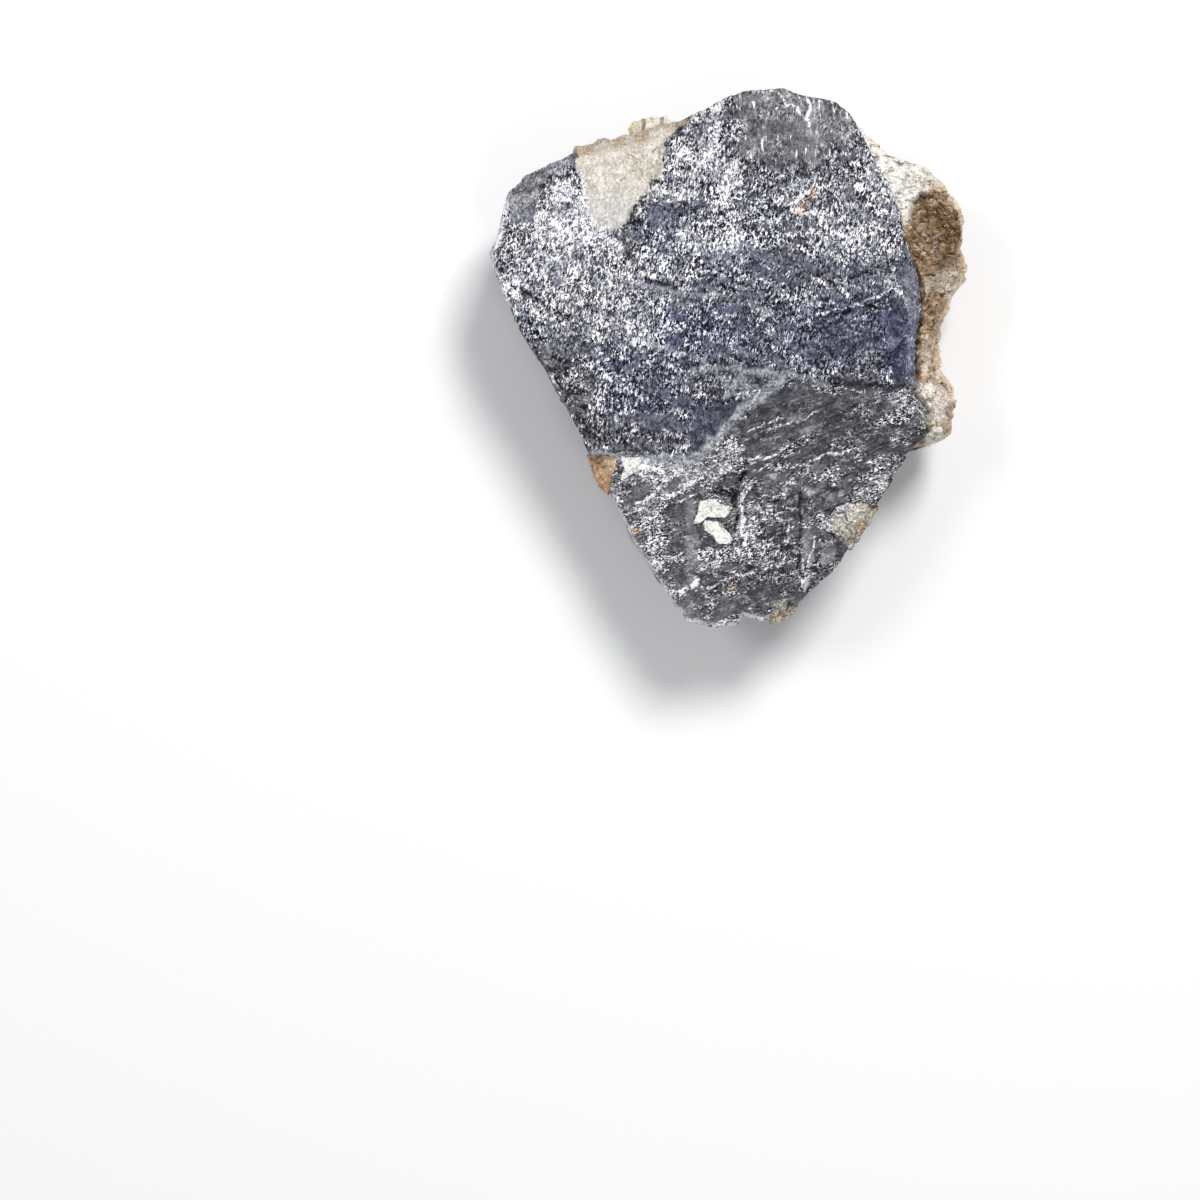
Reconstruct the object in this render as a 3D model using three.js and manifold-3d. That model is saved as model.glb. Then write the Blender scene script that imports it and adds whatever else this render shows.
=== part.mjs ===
// A rough corundum plate: a thick tabular crystal of blue-grey corundum lying on its back, with the feldspar
// and mica that it grew in still stuck to its right edge and set into its face.
// Millimetres, +Z up. The broad face points up, +Y runs from the narrow toe to the wide top edge, and the
// origin is under the middle of the stone, on the surface that it rests on.
import * as THREE from "three";
import { mergeVertices } from "three/addons/utils/BufferGeometryUtils.js";
import Module from "manifold-3d";

const wasm = await Module();
wasm.setup();

// Driving dimensions
const FACE_HEIGHT = 15; // the broad face above the table
const WAIST_HEIGHT = 9.6; // where the crystal is widest
const FOOT_HEIGHT = 1.6; // where its side turns under
const CLEARANCE = 0.3; // between two pieces that touch
const FOOT = { x: -0.8, y: 0.6, rx: 11, ry: 13.5 }; // the flat spot that it rests on
const FOOT_RISE = 1.5; // how far the underside lifts between the flat spot and the side
const FOOT_LIFTED = 1.6; // it has done so at this many times the flat spot's size
const FOOT_MARGIN = 0.5; // the flat ring lies this far inside the flat spot
const UNDER_MARGIN = 1.2; // and the underside begins this far inside the side's lower end
const CENTRE = { x: -0.8, y: 0.6 }; // the middle that the crystal's rings run round
const COLUMNS = 76;
const FACE_RINGS = 10;

// The broad face falls this much for each millimetre towards the toe, and swells in two slow waves.
const FACE_FALL = 0.012;
const FACE_SWELLS = [
  { size: 0.16, alongX: 0.21, alongY: 0, start: 0.9 },
  { size: 0.14, alongX: -0.11, alongY: 0.17, start: 0.4 },
];

// Between face and side a shoulder is worn off: its share of the bevel, and how far it lies below the face.
const SHOULDER = { bevel: 0.45, drop: 1.1 };

// The broken side, from the face down: height, share of the undercut there, and how far it steps in or out
const SIDE_LEDGES = [
  { height: 12.5, undercut: -0.05, step: -0.25 },
  { height: 12.1, undercut: 0, step: 0.1 },
  { height: WAIST_HEIGHT, undercut: 0, step: 0 },
  { height: 7.9, undercut: 0.08, step: 0 },
  { height: 7.5, undercut: 0.12, step: -0.35 },
  { height: 4.6, undercut: 0.45, step: -0.1 },
  { height: 4.2, undercut: 0.6, step: -0.4 },
  { height: FOOT_HEIGHT, undercut: 1, step: 0 },
];
const WAIST_ZONE = { from: 0.5, to: 3.5 }; // the waves grow between these distances from the waist
const SIDE_WAVES = [
  { size: 0.42, turns: 5, lean: 0.5, start: 0.4 },
  { size: 0.3, turns: 9, lean: -0.7, start: 2.1 },
  { size: 0.2, turns: 14, lean: 0.9, start: 4.4 },
];

// The widest outline, counter-clockwise from the middle of the right side: x, y, then how far the face stands
// back from it (bevel) and how far the foot does (undercut).
const CRYSTAL_OUTLINE = [
  [19.2, 5.1, 0.7, 2.2],
  [19.0, 8.1, 0.7, 2.2],
  [17.9, 11.4, 0.7, 2.4],
  [16.4, 16.6, 0.6, 2.6],
  [13.8, 21.4, 0.6, 2.8],
  [12.0, 24.7, 0.8, 3.4],
  [10.2, 26.0, 0.9, 3.6],
  [7.2, 26.4, 0.8, 3.4],
  [5.4, 27.2, 0.9, 3.6],
  [1.3, 26.8, 0.9, 3.4],
  [-3.2, 24.9, 1.2, 3.0],
  [-5.4, 23.3, 1.4, 2.8],
  [-10.2, 22.1, 1.5, 2.6],
  [-15.4, 20.9, 1.3, 2.8],
  [-20.6, 18.5, 1.1, 3.2],
  [-22.4, 16.6, 1.0, 3.4],
  [-23.2, 13.2, 0.7, 3.6],
  [-24.1, 10.7, 0.6, 4.0],
  [-23.5, 8.1, 0.5, 3.8],
  [-21.3, 3.3, 0.4, 3.4],
  [-18.1, -1.9, 0.4, 3.2],
  [-13.9, -9.7, 0.4, 3.0],
  [-11.9, -13.4, 0.5, 3.0],
  [-9.8, -18.2, 0.5, 3.2],
  [-6.9, -22.6, 0.6, 3.8],
  [-4.3, -26.5, 0.8, 5.2],
  [-2.0, -27.2, 0.9, 5.4],
  [0.9, -26.9, 0.9, 5.2],
  [1.3, -25.9, 0.6, 4.8],
  [3.1, -26.5, 0.8, 5.0],
  [5.7, -25.9, 0.7, 4.8],
  [7.9, -23.7, 0.5, 4.2],
  [10.9, -20.8, 0.4, 3.6],
  [13.8, -16.3, 0.4, 3.2],
  [16.4, -12.3, 0.4, 2.8],
  [18.1, -9.3, 0.5, 2.4],
  [19.8, -7.5, 0.6, 2.2],
  [20.0, -5.2, 0.7, 2.2],
  [18.7, -3.4, 0.7, 2.2],
  [18.8, 0.7, 0.7, 2.2],
];

// Parts of the face that stand higher or lower than the rest: outline, lift, and the width of the step.
const TERRACES = [
  // the left lobe
  {
    lift: -0.55,
    step: 0.5,
    outline: [
      [-27, 10], [-25, 22], [-12, 26], [-3.8, 24.2], [-6.6, 21.4], [-7.4, 18], [-9.6, 15.4],
      [-10.8, 13], [-10.6, 11], [-10.2, 9.4], [-13.2, 7.6], [-17.4, 7.4], [-21, 5.6],
    ],
  },
  // the smooth upper plate
  {
    lift: 0.35,
    step: 0.35,
    outline: [
      [-1.4, 28], [-2.2, 23.5], [-0.8, 20.6], [1.2, 19.4], [2.6, 18], [4.4, 16.4],
      [9.6, 17], [14, 18.6], [18, 20], [15, 28],
    ],
  },
  // the lower third
  {
    lift: -0.6,
    step: 0.9,
    outline: [
      [-16, -9.8], [-8.4, -9.8], [-4.8, -10.6], [-1, -8.6], [0.9, -5.7], [3.1, -3], [5.4, -2.2],
      [14, -3], [24, -3.4], [22, -30], [-12, -30],
    ],
  },
];

// Feldspar along the right edge: station y, the crystal's edge there, and how far the rind reaches.
const RIND_STATIONS = [
  { y: 25.3, edge: 11.6, reach: 12.2 },
  { y: 24.0, edge: 12.3, reach: 13.4 },
  { y: 22.4, edge: 13.2, reach: 14.5 },
  { y: 20.6, edge: 14.2, reach: 16.4 },
  { y: 19.6, edge: 14.8, reach: 20.6 },
  { y: 18.2, edge: 15.6, reach: 21.9 },
  { y: 16.8, edge: 16.3, reach: 22.8 },
  { y: 15.2, edge: 16.9, reach: 23.5 },
  { y: 13.4, edge: 17.4, reach: 23.7 },
  { y: 11.4, edge: 17.9, reach: 23.6 },
  { y: 9.8, edge: 18.4, reach: 24.3 },
  { y: 8.4, edge: 18.8, reach: 24.1 },
  { y: 6.8, edge: 19.1, reach: 22.9 },
  { y: 5.2, edge: 19.2, reach: 22.4 },
  { y: 3.4, edge: 19.0, reach: 21.4 },
  { y: 1.2, edge: 18.9, reach: 21.3 },
  { y: -0.8, edge: 18.8, reach: 21.5 },
  { y: -2.6, edge: 18.7, reach: 22.7 },
  { y: -4.4, edge: 19.2, reach: 22.9 },
  { y: -6.0, edge: 19.9, reach: 22.6 },
  { y: -7.4, edge: 19.8, reach: 22.6 },
  { y: -8.6, edge: 18.9, reach: 21.2 },
  { y: -9.5, edge: 18.2, reach: 19.8 },
];
// Its section is an oval round a centre inside the crystal's edge, and its two ends are drawn in by stages.
const RIND = { middle: 8.2, up: 6.6, down: 6.0, root: 2.6, inset: 1, columns: 22 };
const RIND_ENDS = { share: 0.45, step: 0.25, tip: 0.5 };
const RIND_LUMPS = [
  { size: 0.05, turns: 3, along: 1.7 },
  { size: 0.04, turns: 2, along: -2.3 },
];

// The smaller pieces set into the face and the edges: outline, how far each stands above the face there,
// how deep it goes at its inner end (depth) and at the stone's edge (edgeDepth).
const EDGE_ZONE = { from: 0.5, to: 4 }; // the depth changes between these distances from the stone's edge
const INLAYS = [
  {
    name: "feldspar_patch",
    colour: 0xd9c9b2,
    proud: 0.15,
    depth: 1.4,
    edgeDepth: 6.2,
    outline: [
      [-3.9, 24.4], [-5.4, 23.7], [-7.9, 23.1], [-10.2, 22.5], [-13.1, 21.8], [-15.4, 21.2], [-15.7, 19.8],
      [-15.6, 18.8], [-15.1, 17.8], [-14.8, 16.6], [-15.3, 15.5], [-14.8, 14.4], [-14.1, 13.2],
      [-13.1, 12.6], [-11.7, 12.7], [-10.4, 13.8], [-9.5, 15.4], [-8.3, 16.5], [-7.9, 17.8],
      [-6.6, 18.1], [-6.6, 19.8], [-6.3, 21.6], [-5.6, 22.4], [-4.1, 23.7],
    ],
  },
  {
    name: "stained_grain",
    colour: 0xb98a5e,
    proud: 0.1,
    depth: 2.2,
    edgeDepth: 3.4,
    outline: [
      [-11.4, -9.8], [-14.2, -9.6], [-13.8, -11.2], [-13.1, -12.7], [-12.2, -13.6], [-11.5, -12.2],
      [-11.2, -10.9],
    ],
  },
  {
    name: "pale_grain",
    colour: 0xd8d6cc,
    proud: 0.1,
    depth: 1.6,
    edgeDepth: 1.6,
    outline: [
      [-8.5, -9.9], [-10.9, -9.8], [-10.7, -11.0], [-10.9, -12.3], [-9.7, -11.6], [-8.8, -10.6],
    ],
  },
  {
    name: "inclusion_upper",
    colour: 0xdcdad2,
    proud: 0.25,
    depth: 1.5,
    edgeDepth: 1.5,
    outline: [
      [0.1, -15.2], [-0.7, -14.6], [-1.7, -14.2], [-3.1, -14.3], [-3.4, -15.0], [-3.6, -16.0], [-3.4, -16.7],
      [-2.4, -15.95], [-0.7, -15.9],
    ],
  },
  {
    name: "inclusion_lower",
    colour: 0xd2cec4,
    proud: 0.15,
    depth: 1.3,
    edgeDepth: 1.3,
    outline: [
      [0.3, -18.0], [-0.9, -17.1], [-1.9, -16.5], [-2.6, -16.5], [-2.5, -17.3], [-2.0, -18.0], [-1.3, -18.6],
      [-0.1, -18.6],
    ],
  },
  {
    name: "edge_crust",
    colour: 0xb7ad9c,
    proud: 0.3,
    depth: 1.2,
    edgeDepth: 3.0,
    outline: [
      [15.1, -14.7], [13.1, -14.2], [11.9, -14.5], [10.7, -15.0], [9.7, -16.2], [9.5, -17.2], [10.4, -17.7],
      [11.2, -18.7], [12.2, -19.1], [13.3, -17.7], [14.3, -16.2],
    ],
  },
  {
    name: "toe_crust",
    colour: 0xc4bfb0,
    proud: 0.2,
    depth: 1.3,
    edgeDepth: 2.6,
    outline: [
      [7.0, -24.7], [5.4, -24.3], [4.4, -24.6], [3.9, -25.5], [4.3, -26.5], [5.6, -26.3], [6.4, -25.5],
    ],
  },
];

// The block that stands out of the top edge, behind the feldspar patch
const KNOB = {
  bottom: 8.0,
  top: 12.9,
  outline: [
    [-5.5, 22.9], [-5.7, 23.7], [-6.3, 24.5], [-7.3, 24.6], [-9.1, 24.3], [-9.8, 23.9], [-10.0, 22.8],
    [-9.7, 21.0], [-8.1, 20.6], [-6.3, 21.0],
  ],
};

// The brown mica that fills a pocket in the rind. The pocket is open on its outer side: the outline runs out
// past the rind, and the rind's own surface ends it there.
const MICA = {
  bottom: 9.4,
  top: 13.3,
  fall: 0.3, // its top falls this much for each millimetre outwards of its inner side
  inner: 18.5,
  outline: [
    [24.6, 12.4], [24.4, 14.2], [22.8, 15.5], [21.7, 16.0], [20.3, 16.6], [19.2, 16.2], [18.6, 15.4],
    [18.5, 13.4], [18.5, 11.6], [19.1, 10.2], [20.5, 9.2], [22.2, 9.6], [24.2, 10.7],
  ],
};

// A set-in piece's rounded shoulders: shares of its outline, with how far below its top and above its bottom
const TOP_RINGS = [
  { share: 0.4, below: 0 },
  { share: 0.8, below: 0 },
  { share: 0.94, below: 0.08 },
  { share: 1, below: 0.3 },
];
const BOTTOM_RINGS = [
  { share: 1, above: 0.3 },
  { share: 0.9, above: 0.08 },
  { share: 0.5, above: 0 },
];

// Shape tools

// Closed mesh from rings of equally many points, with a point at each end. Rings run from one end to the
// other and turn so that the outside is on the right of the direction of travel.
function loft(first, rings, last) {
  const columns = rings[0].length;
  const points = [first, ...rings.flat(), last];
  const at = (ring, column) => 1 + ring * columns + (column % columns);
  const faces = [];
  for (let column = 0; column < columns; column++) {
    faces.push(0, at(0, column), at(0, column + 1));
    for (let ring = 0; ring + 1 < rings.length; ring++) {
      const a = at(ring, column);
      const b = at(ring + 1, column);
      const c = at(ring + 1, column + 1);
      const d = at(ring, column + 1);
      faces.push(a, b, c, a, c, d);
    }
    faces.push(at(rings.length - 1, column), points.length - 1, at(rings.length - 1, column + 1));
  }
  return new THREE.BufferGeometry().setFromPoints(points).setIndex(faces);
}

// Where a ray from the middle at this angle meets a closed outline: the whole outline row, interpolated,
// with its distance in front.
function outlineAt(outline, middle, angle) {
  const dx = Math.cos(angle);
  const dy = Math.sin(angle);
  let best = null;
  outline.forEach((p, i) => {
    const q = outline[(i + 1) % outline.length];
    const ex = q[0] - p[0];
    const ey = q[1] - p[1];
    const cross = dx * ey - dy * ex;
    if (Math.abs(cross) < 1e-9) return;
    const px = p[0] - middle.x;
    const py = p[1] - middle.y;
    const distance = (px * ey - py * ex) / cross;
    const share = (px * dy - py * dx) / cross;
    if (distance > 0 && share >= -1e-9 && share <= 1 + 1e-9 && (!best || distance > best[0]))
      best = [distance, ...p.map((value, k) => value + (q[k] - value) * share)];
  });
  return best;
}

// Signed distance from a closed outline, positive inside it
function insideBy(outline, x, y) {
  let nearest = Infinity;
  let inside = false;
  outline.forEach((p, i) => {
    const q = outline[(i + 1) % outline.length];
    const ex = q[0] - p[0];
    const ey = q[1] - p[1];
    const t = THREE.MathUtils.clamp(((x - p[0]) * ex + (y - p[1]) * ey) / (ex * ex + ey * ey), 0, 1);
    nearest = Math.min(nearest, Math.hypot(x - p[0] - t * ex, y - p[1] - t * ey));
    if (p[1] > y !== q[1] > y && x < p[0] + ((y - p[1]) / (q[1] - p[1])) * ex) inside = !inside;
  });
  return inside ? nearest : -nearest;
}

const middleOf = (outline) => ({
  x: outline.reduce((sum, p) => sum + p[0], 0) / outline.length,
  y: outline.reduce((sum, p) => sum + p[1], 0) / outline.length,
});

function solidOf(geometry) {
  const bare = geometry.clone();
  bare.deleteAttribute("normal");
  bare.deleteAttribute("uv");
  const merged = mergeVertices(bare, 1e-4);
  return new wasm.Manifold(
    new wasm.Mesh({
      numProp: 3,
      vertProperties: new Float32Array(merged.attributes.position.array),
      triVerts: new Uint32Array(merged.index.array),
    }),
  );
}

// The largest body of a solid, with any crumbs that a cut left beside it dropped
const largestOf = (solid) => solid.decompose().reduce((a, b) => (b.volume() > a.volume() ? b : a));

function meshOf(name, solid, colour, roughness) {
  const cut = largestOf(solid).getMesh();
  const geometry = new THREE.BufferGeometry();
  geometry.setAttribute("position", new THREE.BufferAttribute(cut.vertProperties, 3));
  geometry.setIndex(new THREE.BufferAttribute(cut.triVerts, 1));
  geometry.computeVertexNormals();
  const material = new THREE.MeshStandardMaterial({ color: colour, roughness, metalness: 0 });
  const mesh = new THREE.Mesh(geometry, material);
  mesh.name = name;
  return mesh;
}

// The crystal

// Height of the broad face: a plane that falls a little towards the toe, the swells and the terraces
function faceHeight(x, y) {
  const swell = FACE_SWELLS.reduce(
    (sum, { size, alongX, alongY, start }) => sum + size * Math.sin(alongX * x + alongY * y + start),
    0,
  );
  const steps = TERRACES.reduce(
    (sum, t) => sum + t.lift * THREE.MathUtils.smoothstep(insideBy(t.outline, x, y), -t.step / 2, t.step / 2),
    0,
  );
  return FACE_HEIGHT + FACE_FALL * y + swell + steps;
}

// Height of the underside: flat in the foot, lifting away from it towards the side
function undersideHeight(x, y) {
  const away = Math.hypot((x - FOOT.x) / FOOT.rx, (y - FOOT.y) / FOOT.ry);
  return FOOT_RISE * THREE.MathUtils.smoothstep(away, 1, FOOT_LIFTED);
}

// How far the broken side stands out or in of its plain slope: slow waves round the stone that fade out at
// the waist, so that the widest outline is kept
function sideWave(angle, height) {
  const fade = THREE.MathUtils.smoothstep(Math.abs(height - WAIST_HEIGHT), WAIST_ZONE.from, WAIST_ZONE.to);
  const wave = SIDE_WAVES.reduce(
    (sum, { size, turns, lean, start }) => sum + size * Math.sin(turns * angle + lean * height + start),
    0,
  );
  return fade * wave;
}

// The whole crystal, each outer surface moved out by the same margin
function crystalSolid(margin) {
  const angles = Array.from({ length: COLUMNS }, (_, i) => (2 * Math.PI * i) / COLUMNS);
  const rows = angles.map((angle) => {
    const [radius, , , bevel, undercut] = outlineAt(CRYSTAL_OUTLINE, CENTRE, angle);
    return { angle, radius, bevel, undercut };
  });
  const ring = (radiusOf, heightOf) =>
    rows.map((row) => {
      const radius = radiusOf(row) + margin;
      const x = CENTRE.x + radius * Math.cos(row.angle);
      const y = CENTRE.y + radius * Math.sin(row.angle);
      return new THREE.Vector3(x, y, heightOf(x, y));
    });
  const face = (x, y) => faceHeight(x, y) + margin;
  const under = (x, y) => undersideHeight(x, y) - margin;
  const faceRings = Array.from({ length: FACE_RINGS }, (_, i) =>
    ring(({ radius, bevel }) => ((radius - bevel) * (i + 1)) / FACE_RINGS, face),
  );
  const shoulder = ring(
    ({ radius, bevel }) => radius - SHOULDER.bevel * bevel,
    (x, y) => faceHeight(x, y) - SHOULDER.drop,
  );
  const side = SIDE_LEDGES.map(({ height, undercut: share, step }) =>
    ring(
      ({ angle, radius, undercut }) => radius - share * undercut + step + sideWave(angle, height),
      () => height,
    ),
  );
  const footRadius = (angle) => 1 / Math.hypot(Math.cos(angle) / FOOT.rx, Math.sin(angle) / FOOT.ry);
  const underside = [
    ring(({ radius, undercut }) => radius - undercut - UNDER_MARGIN, under),
    ring(({ angle, radius, undercut }) => (radius - undercut + footRadius(angle)) / 2, under),
    ring(({ angle }) => footRadius(angle) - FOOT_MARGIN, () => -margin),
  ];
  const top = new THREE.Vector3(CENTRE.x, CENTRE.y, face(CENTRE.x, CENTRE.y));
  const bottom = new THREE.Vector3(CENTRE.x, CENTRE.y, -margin);
  return solidOf(loft(top, [...faceRings, shoulder, ...side, ...underside], bottom));
}

// A piece with its own outline, between an upper and a lower surface, with rounded shoulders
function pebbleSolid(outline, upper, lower, margin) {
  const middle = middleOf(outline);
  const columns = 2 * outline.length;
  const angles = Array.from({ length: columns }, (_, i) => (2 * Math.PI * i) / columns);
  const radii = angles.map((angle) => outlineAt(outline, middle, angle)[0]);
  const ring = (share, heightOf) =>
    angles.map((angle, i) => {
      const x = middle.x + (radii[i] * share + margin) * Math.cos(angle);
      const y = middle.y + (radii[i] * share + margin) * Math.sin(angle);
      return new THREE.Vector3(x, y, heightOf(x, y));
    });
  const rings = [
    ...TOP_RINGS.map(({ share, below }) => ring(share, (x, y) => upper(x, y) + margin - below)),
    ...BOTTOM_RINGS.map(({ share, above }) => ring(share, (x, y) => lower(x, y) - margin + above)),
  ];
  const top = new THREE.Vector3(middle.x, middle.y, upper(middle.x, middle.y) + margin);
  const bottom = new THREE.Vector3(middle.x, middle.y, lower(middle.x, middle.y) - margin);
  return solidOf(loft(top, rings, bottom));
}

// Lower surface of an inlay: depth in the middle of the stone, edgeDepth where the stone's side begins
function inlaySolid(inlay, margin, cutOpen = 0) {
  const upper = (x, y) => faceHeight(x, y) + inlay.proud + cutOpen;
  const lower = (x, y) => {
    const inner = THREE.MathUtils.smoothstep(insideBy(CRYSTAL_OUTLINE, x, y), EDGE_ZONE.from, EDGE_ZONE.to);
    return faceHeight(x, y) - THREE.MathUtils.lerp(inlay.edgeDepth, inlay.depth, inner);
  };
  return pebbleSolid(inlay.outline, upper, lower, margin);
}

// The feldspar rind: an oval section carried down the right edge, rooted inside the crystal's outline
function rindSolid() {
  const { middle, up, down, root, inset, columns } = RIND;
  const section = ({ y, edge, reach }, k) => {
    const centre = edge - inset;
    const fromEnd = Math.min(k, RIND_STATIONS.length - 1 - k);
    const end = Math.min(1, RIND_ENDS.share + RIND_ENDS.step * fromEnd);
    return Array.from({ length: columns }, (_, i) => {
      const turn = (2 * Math.PI * i) / columns;
      const out = Math.cos(turn) > 0 ? reach - centre : root;
      const rise = Math.sin(turn) < 0 ? up : down;
      const lump = RIND_LUMPS.reduce((sum, l) => sum + l.size * Math.sin(l.turns * turn + l.along * k), 1);
      const x = centre + out * Math.cos(turn) * (Math.cos(turn) > 0 ? 1 : lump);
      return new THREE.Vector3(x, y, middle - rise * end * lump * Math.sin(turn));
    });
  };
  const rings = RIND_STATIONS.map(section);
  const first = RIND_STATIONS[0];
  const last = RIND_STATIONS[RIND_STATIONS.length - 1];
  return solidOf(
    loft(
      new THREE.Vector3(first.edge - inset, first.y + RIND_ENDS.tip, middle),
      rings,
      new THREE.Vector3(last.edge - inset, last.y - RIND_ENDS.tip, middle),
    ),
  );
}

// Assembly

const OPEN_ABOVE = 6; // how far a recess is cut up through the surface
const knobBody = (margin) => pebbleSolid(KNOB.outline, () => KNOB.top, () => KNOB.bottom, margin);
const micaBody = (margin, cutOpen) =>
  pebbleSolid(
    MICA.outline,
    (x) => MICA.top - MICA.fall * (x - MICA.inner) + cutOpen,
    () => MICA.bottom,
    margin,
  );

const inlays = INLAYS.map((inlay) => ({
  ...inlay,
  solid: inlaySolid(inlay, 0),
  recess: inlaySolid(inlay, CLEARANCE, OPEN_ABOVE),
}));
const crystal = inlays.reduce((solid, inlay) => solid.subtract(inlay.recess), crystalSolid(0));
const wholeCrystal = crystalSolid(CLEARANCE);
const rind = rindSolid().subtract(wholeCrystal).subtract(micaBody(CLEARANCE, OPEN_ABOVE));
const mica = micaBody(0, 0).intersect(rindSolid()).subtract(wholeCrystal);
const knob = knobBody(0).subtract(wholeCrystal).subtract(inlays[0].recess);

const stone = new THREE.Group();
stone.name = "rough_corundum";
stone.add(meshOf("corundum_crystal", crystal, 0x6a6d80, 0.5));
stone.add(meshOf("matrix_rind", rind, 0xc9b79c, 0.8));
stone.add(meshOf("mica_pocket", mica, 0x6f553c, 0.6));
stone.add(meshOf("feldspar_knob", knob, 0xd8c8ae, 0.7));
for (const { name, solid, colour } of inlays) stone.add(meshOf(name, solid, colour, 0.7));

// Stand the stone over its origin: the middle of its box, on the table
const box = new THREE.Box3().setFromObject(stone);
const boxMiddle = box.getCenter(new THREE.Vector3());
stone.position.set(-boxMiddle.x, -boxMiddle.y, -box.min.z);

export default stone;
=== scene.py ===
# %% [markdown]
# # A rough corundum crystal
# The stone is a thick plate of blue-grey corundum, 48 mm across, that grew in feldspar and mica. Some of that
# matrix still sticks to its right edge and sits in its broad face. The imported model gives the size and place
# of every mineral body. This script gives each of them the fine surface that its solid leaves out.

# %% Load the frame
import itertools
import math

import bpy
import numpy as np
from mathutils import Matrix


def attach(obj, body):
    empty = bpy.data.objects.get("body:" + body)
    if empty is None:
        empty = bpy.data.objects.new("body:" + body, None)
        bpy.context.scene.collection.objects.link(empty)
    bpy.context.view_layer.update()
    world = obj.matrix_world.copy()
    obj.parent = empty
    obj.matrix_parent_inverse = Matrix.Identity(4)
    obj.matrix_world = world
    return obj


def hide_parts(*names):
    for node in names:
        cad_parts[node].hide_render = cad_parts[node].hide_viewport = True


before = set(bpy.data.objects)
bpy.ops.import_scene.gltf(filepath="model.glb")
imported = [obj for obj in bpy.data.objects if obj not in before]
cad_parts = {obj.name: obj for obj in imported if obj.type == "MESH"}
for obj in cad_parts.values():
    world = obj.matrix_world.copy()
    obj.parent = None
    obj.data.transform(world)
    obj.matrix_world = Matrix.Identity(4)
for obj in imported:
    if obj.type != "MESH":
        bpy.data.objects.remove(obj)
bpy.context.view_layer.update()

MM = 0.001
print("solids", sorted(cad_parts))

# %% [markdown]
# ## Measures
# All shapes are worked out in millimetres, in the stone's own frame: +Z out of the broad face, +Y towards the
# wide top edge. A row of the outline is x, y, the bevel (how far the face stands back from the widest
# outline) and the undercut (how far the foot does).

# %% The crystal's outline
FACE_HEIGHT = 15.0
FOOT_HEIGHT = 1.6
FOOT_RISE = 1.5
FOOT = (11.0, 13.5)
CENTRE = np.array([-0.8, 0.6])
CRYSTAL_OUTLINE = np.array([
    (19.2, 5.1, 0.7, 2.2), (19, 8.1, 0.7, 2.2), (17.9, 11.4, 0.7, 2.4), (16.4, 16.6, 0.6, 2.6),
    (13.8, 21.4, 0.6, 2.8), (12, 24.7, 0.8, 3.4), (10.2, 26, 0.9, 3.6), (7.2, 26.4, 0.8, 3.4),
    (5.4, 27.2, 0.9, 3.6), (1.3, 26.8, 0.9, 3.4), (-3.2, 24.9, 1.2, 3), (-5.4, 23.3, 1.4, 2.8),
    (-10.2, 22.1, 1.5, 2.6), (-15.4, 20.9, 1.3, 2.8), (-20.6, 18.5, 1.1, 3.2), (-22.4, 16.6, 1, 3.4),
    (-23.2, 13.2, 0.7, 3.6), (-24.1, 10.7, 0.6, 4), (-23.5, 8.1, 0.5, 3.8), (-21.3, 3.3, 0.4, 3.4),
    (-18.1, -1.9, 0.4, 3.2), (-13.9, -9.7, 0.4, 3), (-11.9, -13.4, 0.5, 3), (-9.8, -18.2, 0.5, 3.2),
    (-6.9, -22.6, 0.6, 3.8), (-4.3, -26.5, 0.8, 5.2), (-2, -27.2, 0.9, 5.4), (0.9, -26.9, 0.9, 5.2),
    (1.3, -25.9, 0.6, 4.8), (3.1, -26.5, 0.8, 5), (5.7, -25.9, 0.7, 4.8), (7.9, -23.7, 0.5, 4.2),
    (10.9, -20.8, 0.4, 3.6), (13.8, -16.3, 0.4, 3.2), (16.4, -12.3, 0.4, 2.8), (18.1, -9.3, 0.5, 2.4),
    (19.8, -7.5, 0.6, 2.2), (20, -5.2, 0.7, 2.2), (18.7, -3.4, 0.7, 2.2), (18.8, 0.7, 0.7, 2.2),
])

# %% [markdown]
# ## Tools for surfaces
# A broken mineral is rough at every size. Smooth noise makes its swells and stains. Cells, the parts of space
# nearest to scattered points, make what crystals break into: little flats, each tilted its own way. Both are
# worked out for whole arrays of points at once, so a hundred thousand points take a second.

# %% Random numbers, noise and cells


def scatter(cell, seed):
    """A number from 0 to 1 for each whole-numbered cell, the same on every run: the cell's three numbers
    are multiplied by large primes, added, and their bits mixed twice."""
    mixed = (cell @ np.array([374761393, 668265263, 1440662683]) + seed * 1274126177) & 0xFFFFFFFF
    mixed = ((mixed ^ (mixed >> 13)) * 1274126177) & 0xFFFFFFFF
    mixed = ((mixed ^ (mixed >> 15)) * 1103515245) & 0xFFFFFFFF
    return ((mixed ^ (mixed >> 16)) & 0xFFFFFF) / 0xFFFFFF


def smooth(value, low, high):
    """0 below low, 1 above high, and the soft step 3t² - 2t³ between them."""
    t = np.clip((value - low) / (high - low), 0, 1)
    return t * t * (3 - 2 * t)


def fade(value, low, high):
    """1 below low and 0 above high."""
    return 1 - smooth(value, low, high)


def blend(share, first, second):
    """The first value, moved that share of the way to the second."""
    return first + share * (second - first)


def points_at(x, y, z=0.0):
    """Points from their coordinates, any of which may be one number for all."""
    return np.stack(np.broadcast_arrays(x, y, z), axis=-1)


def noise(points, size, seed):
    """Smooth noise from -1 to 1: random numbers on a lattice of that cell size, blended between the eight
    corners round each point."""
    scaled = points / size
    base = np.floor(scaled).astype(np.int64)
    t = smooth(scaled - base, 0, 1)
    total = np.zeros(len(points))
    for corner in itertools.product((0, 1), repeat=3):
        weight = np.prod(np.where(corner, t, 1 - t), axis=1)
        total += weight * scatter(base + corner, seed)
    return 2 * total - 1


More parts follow.
